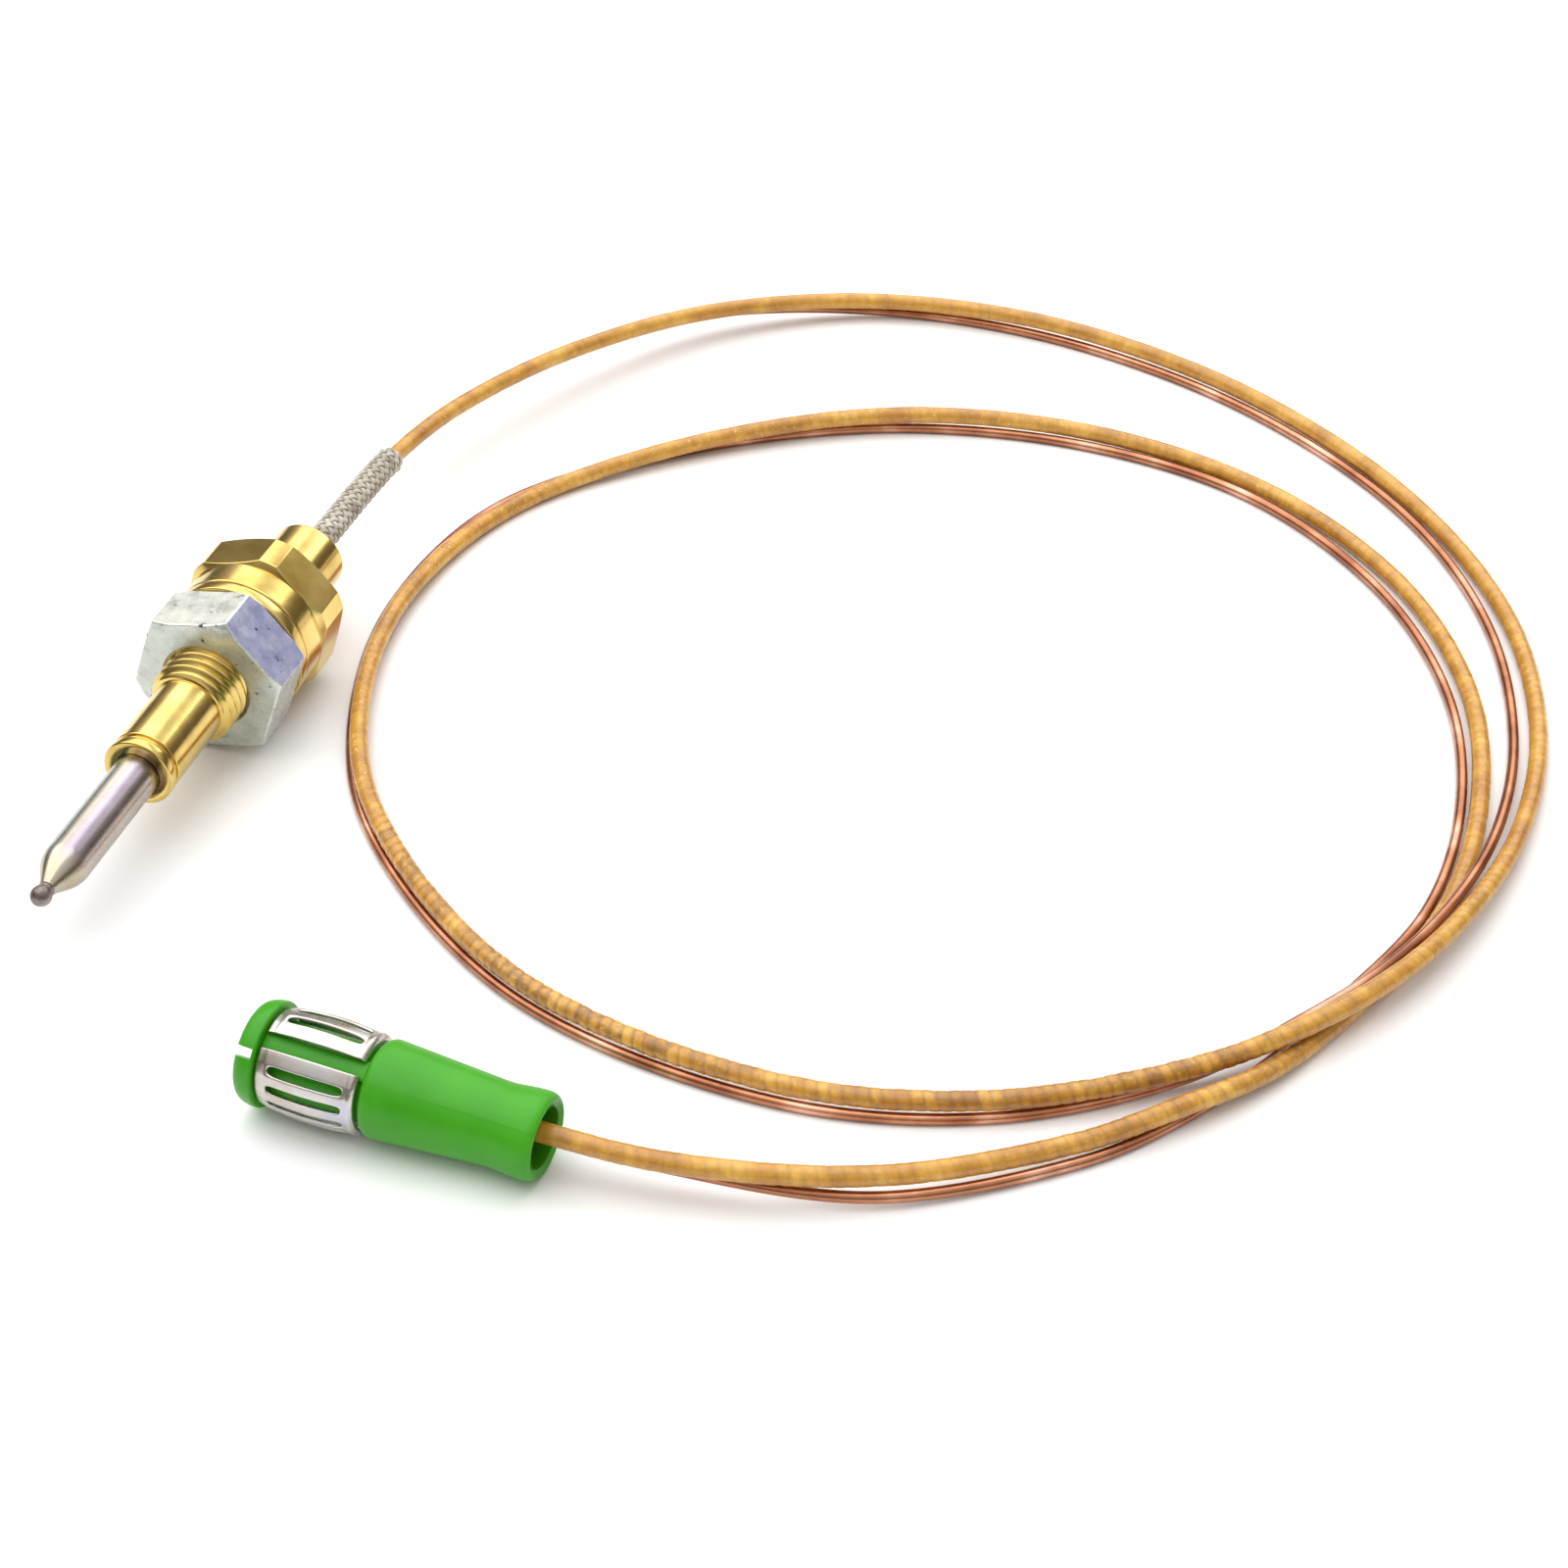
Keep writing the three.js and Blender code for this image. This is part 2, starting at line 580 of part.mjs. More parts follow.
function plugBody() {
  const outside = turned([
    [0, 0],
    [PLUG_FLANGE_RADIUS - 0.7, 0],
    [PLUG_FLANGE_RADIUS - 0.32, 0.35],
    [PLUG_FLANGE_RADIUS - 0.08, 0.95],
    [PLUG_FLANGE_RADIUS, 1.5],
    [PLUG_FLANGE_RADIUS - 0.15, PLUG_FLANGE_WIDTH],
    [PLUG_CORE_RADIUS, PLUG_FLANGE_WIDTH],
    [PLUG_CORE_RADIUS, PLUG_BODY_START],
    [PLUG_BODY_RADIUS - 0.6, PLUG_BODY_START],
    [PLUG_BODY_RADIUS - 0.15, PLUG_BODY_START + 0.25],
    [PLUG_BODY_RADIUS, PLUG_BODY_START + 0.8],
    [PLUG_WAIST_RADIUS, PLUG_WAIST_Y],
    [PLUG_END_RADIUS, PLUG_LENGTH - 1],
    [PLUG_END_RADIUS - 0.1, PLUG_LENGTH - 0.4],
    [PLUG_END_RADIUS - 0.45, PLUG_LENGTH],
    [0, PLUG_LENGTH],
  ]);
  const bore = turned([
    [0, -1],
    [PLUG_MOUTH_RADIUS, -1],
    [PLUG_MOUTH_RADIUS, PLUG_MOUTH_DEPTH],
    [PLUG_THROAT_RADIUS, PLUG_MOUTH_DEPTH + 0.05],
    [PLUG_THROAT_RADIUS, PLUG_THROAT_DEPTH],
    [PLUG_FRONT_BORE_RADIUS, PLUG_THROAT_DEPTH + 0.05],
    [PLUG_FRONT_BORE_RADIUS, PLUG_REAR_BORE_START],
    [PLUG_REAR_BORE_RADIUS, PLUG_REAR_BORE_START + 0.4],
    [PLUG_REAR_BORE_RADIUS, PLUG_LENGTH + 1],
    [0, PLUG_LENGTH + 1],
  ]);
  const rib = (angle) => toManifold(radialBox(
    RIB_WIDTH, PLUG_CORE_RADIUS - 0.4, RIB_RADIUS, PLUG_FLANGE_WIDTH - 0.5, PLUG_BODY_START + 0.5, angle));
  const slit = (angle) => toManifold(radialBox(
    SLIT_WIDTH, PLUG_THROAT_RADIUS, PLUG_FLANGE_RADIUS + 1, -1, PLUG_FLANGE_WIDTH - 0.2, angle));
  return toGeometry(toManifold(outside)
    .add(rib(RIB_ANGLE))
    .add(rib(RIB_ANGLE + 180))
    .subtract(toManifold(bore))
    .subtract(slit(SLIT_ANGLE))
    .subtract(slit(SLIT_ANGLE + 180)));
}

// A bowed contact panel with a row of long slots, centred on `angle` about the plug's axis.
function contactPanel(angle) {
  const sideways = [-PANEL_HALF_ANGLE, -PANEL_HALF_ANGLE + PANEL_MARGIN];
  const slotColumns = [];
  for (let i = 0; i < SLOT_COUNT; i += 1) {
    const slotCentre = SLOT_SPACING * (i - (SLOT_COUNT - 1) / 2);
    slotColumns.push(sideways.length);
    sideways.push(slotCentre - SLOT_HALF_ANGLE, slotCentre + SLOT_HALF_ANGLE);
  }
  sideways.push(PANEL_HALF_ANGLE - PANEL_MARGIN, PANEL_HALF_ANGLE);
  const isOpen = (i, j) => slotColumns.includes(i) && j >= 1 && j <= 4;
  const start = SLOT_ROWS_Y[0];
  const end = SLOT_ROWS_Y[SLOT_ROWS_Y.length - 1];
  const middle = (start + end) / 2;
  const halfLength = (end - start) / 2;
  const place = (i, j, side) => {
    const y = SLOT_ROWS_Y[j];
    const bow = PANEL_BOW * (1 - ((y - middle) / halfLength) ** 2);
    const radius = PANEL_EDGE_RADIUS + bow - (side ? 0 : PANEL_THICKNESS);
    const around = THREE.MathUtils.degToRad(angle + sideways[i]);
    return new THREE.Vector3(radius * Math.cos(around), y, radius * Math.sin(around));
  };
  return cellPlate(sideways.length - 1, SLOT_ROWS_Y.length - 1, isOpen, place);
}

// ---------- assembly ----------

function piece(parent, name, geometry, material, rise = 0, side = 0) {
  const mesh = new THREE.Mesh(geometry, material);
  mesh.name = name;
  mesh.position.z = rise;
  mesh.position.x = side;
  parent.add(mesh);
}

const thermocouple = new THREE.Group();

const head = new THREE.Group();
head.position.z = AXIS_HEIGHT;
thermocouple.add(head);
piece(head, 'hot_junction_bead', hotJunctionBead(), weldedAlloy);
piece(head, 'sheath_tube', sheathTube(), nickelTube);
piece(head, 'thermo_core', turnedRod(CORE_RADIUS, NECK_Y + FIT_GAP, CORE_END_Y, CORE_SIDES), constantan);
piece(head, 'core_sleeving', turnedRing(
  SLEEVING_BORE_RADIUS, SLEEVING_RADIUS, SLEEVING_START_Y, SLEEVING_END_Y), glassFibre);
piece(head, 'brass_body', brassBody(), brass);
piece(head, 'lock_nut', lockNut(), zinc);
piece(head, 'seat_washer', seatWasher(), brass);
piece(head, 'splice_ferrule', turnedRing(
  FERRULE_BORE_RADIUS, SPLICE_RADIUS, SPLICE_START_Y, SPLICE_END_Y, SMALL_ROUND), contactMetal);
piece(head, 'lead_core_head', turnedRod(
  CORE_RADIUS, LEAD_CORE_START_Y, LEAD_START_Y - LEAD_GAP, CORE_SIDES), copper);
piece(head, 'collar_bush', turnedRing(
  BUSH_BORE_RADIUS, COLLAR_BORE_RADIUS - FIT_GAP, BUSH_START_Y, BUSH_END_Y), glassFibre);

piece(thermocouple, 'braid_sleeve', braidedSleeve(), braidedFibre);
piece(thermocouple, 'amber_lead',
  cord(LeadStretch, 0, LEAD_END_ROW, LEAD_DIAMETER), amberVarnish);
piece(thermocouple, 'copper_wire',
  cord(WireStretch, WIRE_START_ROW, WIRE_END_ROW, WIRE_DIAMETER), copper);

const plug = new THREE.Group();
plug.position.copy(PLUG_FRONT);
plug.rotation.set(
  THREE.MathUtils.degToRad(PLUG_TILT), 0, THREE.MathUtils.degToRad(PLUG_HEADING), 'ZXY');
thermocouple.add(plug);
piece(plug, 'plug_body', plugBody(), greenPlastic);
piece(plug, 'contact_panel_upper', contactPanel(RIB_ANGLE + 90), contactMetal);
piece(plug, 'contact_panel_lower', contactPanel(RIB_ANGLE - 90), contactMetal);
piece(plug, 'shell_contact_tube', turnedRing(
  SHELL_TUBE_BORE_RADIUS, SHELL_TUBE_RADIUS, SHELL_TUBE_START, SHELL_TUBE_END, PLUG_INNER_ROUND),
contactMetal);
piece(plug, 'pin_insulator', turnedRing(
  INSULATOR_BORE_RADIUS, INSULATOR_RADIUS, INSULATOR_START, INSULATOR_END, PLUG_INNER_ROUND), whitePlastic);
piece(plug, 'centre_pin', turned([
  [0, PIN_START],
  [PIN_POINT_RADIUS, PIN_START],
  [PIN_RADIUS, PIN_START + PIN_POINT_LENGTH],
  [PIN_RADIUS, PIN_END],
  [0, PIN_END],
], SMALL_ROUND), brass);
piece(plug, 'lead_core_plug', turnedRod(
  CORE_RADIUS, PLUG_CORE_START, PLUG_CORE_END, CORE_SIDES), copper, LEAD_RISE_IN_PLUG);
piece(plug, 'core_ferrule', turnedRing(
  FERRULE_BORE_RADIUS, CORE_FERRULE_RADIUS, CORE_FERRULE_START, CORE_FERRULE_END, SMALL_ROUND),
contactMetal, LEAD_RISE_IN_PLUG);
piece(plug, 'wire_crimp', turnedRing(
  CRIMP_BORE_RADIUS, CRIMP_RADIUS, CRIMP_START, CRIMP_END, SMALL_ROUND),
contactMetal, WIRE_RISE_IN_PLUG, WIRE_SIDE_IN_PLUG);

export default thermocouple;
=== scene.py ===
"""A thermocouple lying on a pale floor: a metal-sheathed tip in a threaded brass body with a
lock nut, a wound amber lead with a bare copper return wire, and a round green plug.

Lengths are in metres. Shapes are worked out in millimetres and scaled by MM where they are built.
"""

import json
import math
from contextlib import contextmanager

import bmesh
import bpy
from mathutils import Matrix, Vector, noise


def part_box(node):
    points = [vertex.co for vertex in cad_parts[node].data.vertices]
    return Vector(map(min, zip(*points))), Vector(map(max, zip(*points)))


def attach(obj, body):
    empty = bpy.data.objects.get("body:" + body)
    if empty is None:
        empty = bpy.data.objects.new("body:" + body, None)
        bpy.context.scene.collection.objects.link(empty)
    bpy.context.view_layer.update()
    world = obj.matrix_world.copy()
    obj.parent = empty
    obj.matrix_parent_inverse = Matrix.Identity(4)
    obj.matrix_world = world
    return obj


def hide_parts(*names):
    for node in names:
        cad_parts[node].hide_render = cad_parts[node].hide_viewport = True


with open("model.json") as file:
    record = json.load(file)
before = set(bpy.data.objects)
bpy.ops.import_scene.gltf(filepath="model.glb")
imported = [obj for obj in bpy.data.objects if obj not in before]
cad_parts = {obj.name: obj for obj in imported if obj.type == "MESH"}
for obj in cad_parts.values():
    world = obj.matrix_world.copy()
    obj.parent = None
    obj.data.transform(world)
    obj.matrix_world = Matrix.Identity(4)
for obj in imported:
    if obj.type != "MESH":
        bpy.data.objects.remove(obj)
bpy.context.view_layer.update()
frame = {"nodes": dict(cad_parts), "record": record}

MM = 0.001
ROOT = "sensor_and_lead"


# ---------- where things are, from the frame ----------

def box_mm(node):
    """A CAD node's lowest and highest corners, in millimetres."""
    low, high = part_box(node)
    return [value / MM for value in low], [value / MM for value in high]


tube_low, tube_high = box_mm("sheath_tube")
body_low, body_high = box_mm("brass_body")
nut_low, nut_high = box_mm("lock_nut")
washer_low, washer_high = box_mm("seat_washer")

AXIS_Z = (tube_low[2] + tube_high[2]) / 2
TIP_Y = box_mm("hot_junction_bead")[0][1]
TUBE_RADIUS = (tube_high[0] - tube_low[0]) / 2
CONE_LENGTH = 3.6       # of the tube's swaged end
SLEEVE_FRONT = body_low[1]
COLLAR_END = body_high[1]
NUT_FRONT, NUT_BACK = nut_low[1], nut_high[1]
WASHER_FRONT, WASHER_BACK = washer_low[1], washer_high[1]

PLUG_FRONT = Vector((23.2, -34.65, 4.62))   # centre of the plug's front face
PLUG_HEADING = math.radians(-93.3)          # turns the plug's own +Y, front to back, to its place
PLUG_TILT = math.radians(-2.35)             # lowers the plug's rear end to the floor
RIB_ANGLE = 62                              # degrees about the plug's axis, from its +X towards +Z


# ---------- camera ----------

CAMERA_PLACE = (0.1179, -0.1948, 0.1727)
CAMERA_DIRECTION = Vector((-0.2401, 0.7506, -0.6157))
FILM_WIDTH = 36             # millimetres, as is the focal length
FOCAL_LENGTH = 72.14
NEAREST_SEEN = 0.01


def make_camera():
    data = bpy.data.cameras.new("camera")
    data.sensor_width = FILM_WIDTH
    data.lens = FOCAL_LENGTH
    data.clip_start = NEAREST_SEEN
    camera = bpy.data.objects.new("camera", data)
    bpy.context.scene.collection.objects.link(camera)
    camera.location = CAMERA_PLACE
    camera.rotation_euler = CAMERA_DIRECTION.to_track_quat("-Z", "Y").to_euler()
    bpy.context.scene.camera = camera


# ---------- the cords' routes ----------

# Each row is (x, y, height of the lead, side offset of the copper wire, height of the wire).
# A positive side offset lies to the right of the direction of travel.
LEAD_ROUTE = [
    (0.0, 0.0226, 0.0072, -0.00075, 0.00598),
    (0.0, 0.0305, 0.00717, -0.00075, 0.00595),
    (0.0002, 0.0465, 0.0065, -0.00075, 0.00528),
    (0.0024, 0.0585, 0.0059, -0.00084, 0.00474),
    (0.0088, 0.0742, 0.00475, -0.00096, 0.00369),
    (0.0192, 0.0889, 0.0032, -0.00108, 0.00225),
    (0.0345, 0.0981, 0.00215, -0.00045, 0.0007),
    (0.0524, 0.0997, 0.00195, 0.0004, 0.00052),
    (0.072, 0.0946, 0.00164, 0.00095, 0.00052),
    (0.0887, 0.0847, 0.00128, 0.00126, 0.00052),
    (0.1006, 0.0732, 0.00087, 0.00165, 0.00052),
    (0.1094, 0.0586, 0.00087, 0.0021, 0.00052),
    (0.1138, 0.0425, 0.00088, 0.0022, 0.00055),
    (0.1141, 0.0275, 0.0015, 0.0019, 0.0015),
    (0.1116, 0.0146, 0.0024, 0.00155, 0.00242),
    (0.1074, 0.0042, 0.0029, 0.0015, 0.00245),
    (0.1014, -0.0046, 0.00295, 0.00145, 0.0021),
    (0.0928, -0.0121, 0.0022, 0.0004, 0.00075),
    (0.0789, -0.0199, 0.00188, -0.00055, 0.00052),
    (0.0624, -0.0230, 0.00174, -0.00083, 0.00052),
    (0.0387, -0.0179, 0.00174, -0.00083, 0.00052),
    (0.0185, -0.0012, 0.00174, -0.00083, 0.00052),
    (0.0104, 0.0144, 0.00174, -0.00083, 0.00052),
    (0.0076, 0.032, 0.00142, -0.00116, 0.00052),
    (0.0116, 0.05, 0.00087, -0.00148, 0.00052),
    (0.0255, 0.0652, 0.00172, -0.00085, 0.00052),
    (0.0435, 0.0761, 0.002, 0.0001, 0.00052),
    (0.063, 0.0797, 0.00152, 0.00108, 0.00052),
    (0.0815, 0.0758, 0.00087, 0.00165, 0.00052),
    (0.0972, 0.0637, 0.00087, 0.00205, 0.00052),
    (0.1066, 0.0478, 0.00087, 0.00195, 0.00052),
    (0.1101, 0.031, 0.00087, 0.0016, 0.00052),
    (0.1093, 0.0146, 0.00087, 0.0015, 0.00052),
    (0.1039, 0.0002, 0.00087, 0.0015, 0.00052),
    (0.099, -0.0094, 0.00135, 0.0012, 0.00052),
    (0.0936, -0.0159, 0.002, 0.0001, 0.00052),
    (0.0864, -0.0222, 0.0016, -0.001, 0.00052),
    (0.0727, -0.0312, 0.00245, -0.0008, 0.00095),
    (0.0574, -0.0357, 0.0036, 0.00085, 0.00215),
    (0.04496, -0.0359, 0.00413, 0.00083, 0.00298),
]
LEAD_DIAMETER = 0.0017
WIRE_DIAMETER = 0.001
WIRE_SPACING = 0.00142          # least distance between the centres of the lead and the wire
LEAST_LEAD_HEIGHT = LEAD_DIAMETER / 2
LEAST_WIRE_HEIGHT = WIRE_DIAMETER / 2
BRAID_START_ROW = 0.1
BRAID_END_ROW = 1.97
WIRE_START_ROW = 2
LAST_ROW = len(LEAD_ROUTE) - 1
SAMPLES_PER_ROW = 60            # points worked out along the route before they are spaced evenly
LEAD_STEP = 0.00016             # between the rings of each swept piece
WIRE_STEP = 0.0008
BRAID_STEP = 0.00009


def hermite(start, end, start_slope, end_slope, t):
    """The cubic between two points with the given slopes."""
    return (
        start
        + start_slope * t
        + (3 * (end - start) - 2 * start_slope - end_slope) * t * t
        + (2 * (start - end) + start_slope + end_slope) * t ** 3
    )


def neighbours(points, row):
    """The four points around a place on the route, and how far it is past the second one."""
    index = min(int(row), len(points) - 2)
    here, after = points[index], points[index + 1]
    before = points[index - 1] if index > 0 else 2 * here - after
    beyond = points[index + 2] if index + 2 < len(points) else 2 * after - here
    return before, here, after, beyond, row - index


def centripetal_point(points, row):
    """A place on the curve that keeps its shape where the points are unevenly spaced."""
    before, here, after, beyond, t = neighbours(points, row)
    first = math.sqrt((here - before).length)
    middle = math.sqrt((after - here).length)
    last = math.sqrt((beyond - after).length)
    first_rate = (here - before) / first
    middle_rate = (after - here) / middle
    last_rate = (beyond - after) / last
    start_slope = first_rate - (after - before) / (first + middle) + middle_rate
    end_slope = middle_rate - (beyond - here) / (middle + last) + last_rate
    return hermite(here, after, start_slope * middle, end_slope * middle, t)


def uniform_point(points, row):
    """A place on the curve that treats all the points as evenly spaced."""
    before, here, after, beyond, t = neighbours(points, row)
    return hermite(here, after, (after - before) / 2, (beyond - here) / 2, t)


LEAD_POINTS = [Vector(row[:3]) for row in LEAD_ROUTE]
WIRE_LAY = [Vector(row[3:]) for row in LEAD_ROUTE]


def lead_point(row):
    point = centripetal_point(LEAD_POINTS, row)
    point.z = max(point.z, LEAST_LEAD_HEIGHT)
    return point


def wire_point(row):
    """The wire lies beside or under the lead, never nearer to it than WIRE_SPACING."""
    point = lead_point(row)
    step = 0.001
    tangent = lead_point(min(row + step, LAST_ROW)) - lead_point(max(row - step, 0))
    right = Vector((tangent.y, -tangent.x, 0)).normalized()
    side, height = uniform_point(WIRE_LAY, row)
    least_side = math.sqrt(max(0, WIRE_SPACING ** 2 - (point.z - height) ** 2))
    point += right * math.copysign(max(abs(side), least_side), side)
    point.z = max(height, LEAST_WIRE_HEIGHT)
    return point


def evenly_spaced(points, spacing):
    """Points along the same line, a fixed distance apart, with the last one kept."""
    spaced = [points[0].copy()]
    carried = 0.0
    for start, end in zip(points, points[1:]):
        length = (end - start).length
        travelled = spacing - carried
        while travelled <= length:
            spaced.append(start.lerp(end, travelled / length))
            travelled += spacing
        carried = length - (travelled - spacing)
    spaced.append(points[-1].copy())
    return spaced


def route_line(point_at, first_row, last_row, spacing):
    """Evenly spaced points along a cord, between two rows of the route."""
    steps = int((last_row - first_row) * SAMPLES_PER_ROW)
    dense = [point_at(first_row + (last_row - first_row) * i / steps) for i in range(steps + 1)]
    return evenly_spaced(dense, spacing)


# ---------- mesh helpers ----------

@contextmanager
def editing(mesh):
    edit = bmesh.new()
    edit.from_mesh(mesh)
    yield edit
    edit.to_mesh(mesh)
    edit.free()


def shade_smooth(mesh):
    mesh.polygons.foreach_set("use_smooth", [True] * len(mesh.polygons))


def add_piece(name, vertices, faces, slot, node, body=ROOT):
    """A mesh object from corners in metres, riding on a CAD body in the place of a CAD node."""
    mesh = bpy.data.meshes.new(name)
    mesh.from_pydata([tuple(v) for v in vertices], [], faces)
    mesh.validate()
    with editing(mesh) as edit:
        bmesh.ops.recalc_face_normals(edit, faces=edit.faces)
    shade_smooth(mesh)
    piece = bpy.data.objects.new(name, mesh)
    bpy.context.scene.collection.objects.link(piece)
    mesh.materials.append(MATERIALS[slot])
    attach(piece, body)
    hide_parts(node)
    return piece


def sweep_rings(rings, closed=False):
    """Faces between rings of equally many corners. A ring of one corner is a pole.

    The last ring joins the first if closed is true, and otherwise both ends are filled in.
    """
    vertices = [corner for ring in rings for corner in ring]
    starts = [0]
    for ring in rings:
        starts.append(starts[-1] + len(ring))
    faces = []
    for a in range(len(rings) if closed else len(rings) - 1):
        b = (a + 1) % len(rings)
        here, there = starts[a], starts[b]
        sides = max(len(rings[a]), len(rings[b]))
        for i in range(sides):
            j = (i + 1) % sides
            if len(rings[a]) == 1:
                faces.append((here, there + j, there + i))
            elif len(rings[b]) == 1:
                faces.append((here + i, here + j, there))
            else:
                faces.append((here + i, here + j, there + j, there + i))
    if not closed:
        if len(rings[0]) > 1:
            faces.append(tuple(range(len(rings[0]))))
        if len(rings[-1]) > 1:
            faces.append(tuple(reversed(range(starts[-2], starts[-1]))))
    return vertices, faces


def sweep_piece(name, rings, slot, node, body=ROOT, closed=False):
    vertices, faces = sweep_rings(rings, closed)
    return add_piece(name, vertices, faces, slot, node, body)


def round_corners(outline, steps=4):
    """An outline of (radius, y, fillet) corners as a list of (radius, y) with round corners."""
    least = 1e-9
    longest_share = 0.49        # of a side, for the fillet at one of its ends
    points = []
    for index, (radius, y, fillet) in enumerate(outline):
        corner = Vector((radius, y))
        before = Vector(outline[index - 1][:2])
        after = Vector(outline[(index + 1) % len(outline)][:2])
        side_in, side_out = (before - corner).length, (after - corner).length
        if fillet <= 0 or side_in < least or side_out < least:
            points.append((radius, y))
            continue
        into = (before - corner).normalized()
        out = (after - corner).normalized()
        reach = min(fillet, side_in * longest_share, side_out * longest_share)
        start, end = corner + into * reach, corner + out * reach
        for i in range(steps + 1):
            t = i / steps
            point = start.lerp(corner, t).lerp(corner.lerp(end, t), t)
            points.append((point.x, point.y))
    return points


def even_angles(sides):
    return [360 * i / sides for i in range(sides)]


def smooth_step(t):
    """Rises from 0 to 1 as t does, and is level at both ends."""
    return t * t * (3 - 2 * t)


def head_point(radius, angle, y):
    """A point about the sensor's axis, in metres: degrees from +X towards +Z, the rest in mm."""
    turn = math.radians(angle)
    across, rise = radius * math.cos(turn), radius * math.sin(turn)
    return Vector((across * MM, y * MM, (AXIS_Z + rise) * MM))


def head_ring(radius, y, angles):
    """A ring about the sensor's axis. radius may be a number or a function of angle."""
    if callable(radius):
        return [head_point(radius(angle), angle, y) for angle in angles]
    if radius < 1e-6:
        return [head_point(0, 0, y)]
    return [head_point(radius, angle, y) for angle in angles]


def head_rings(outline, angles):
    return [head_ring(radius, y, angles) for radius, y in outline]


def turned_piece(name, outline, slot, node, body=ROOT, sides=96, closed=False):
    rings = head_rings(outline, even_angles(sides))
    return sweep_piece(name, rings, slot, node, body, closed)


def soften_edges(piece, width, test, segments=3, sharpest=math.radians(22)):
    """Bevels a piece's hard edges whose two ends pass a test."""
    def is_hard(edge):
        return edge.is_manifold and edge.calc_face_angle(0) > sharpest

    with editing(piece.data) as edit:
        edges = [e for e in edit.edges if is_hard(e) and all(test(v.co) for v in e.verts)]
        bmesh.ops.bevel(edit, geom=edges, offset=width, segments=segments, profile=0.6,
                        affect="EDGES", clamp_overlap=True)
    shade_smooth(piece.data)


def mark_sharp(piece, sharpest):
    """Keeps a piece's harder edges crisp in its shading."""
    with editing(piece.data) as edit:
        for edge in edit.edges:
            edge.smooth = edge.calc_face_angle(0) < sharpest


def set_point_values(piece, name, values):
    """A number for each of a piece's corners, for its material to read."""
    layer = piece.data.attributes.new(name, "FLOAT", "POINT")
    layer.data.foreach_set("value", values)


def weight_normals(piece):
    """Keeps flat faces flat in the shading, next to their rounded edges."""
    modifier = piece.modifiers.new("flat faces stay flat", "WEIGHTED_NORMAL")
    modifier.keep_sharp = True
    modifier.weight = 80


# ---------- materials ----------

def fill_ramp(ramp, stops):
    """Sets a colour ramp's stops. Each is (position, colour or grey)."""
    while len(ramp.elements) < len(stops):
        ramp.elements.new(0.5)
    for element, (position, colour) in zip(ramp.elements, stops):
        element.position = position
        element.color = (*colour, 1) if hasattr(colour, "__len__") else (*[colour] * 3, 1)


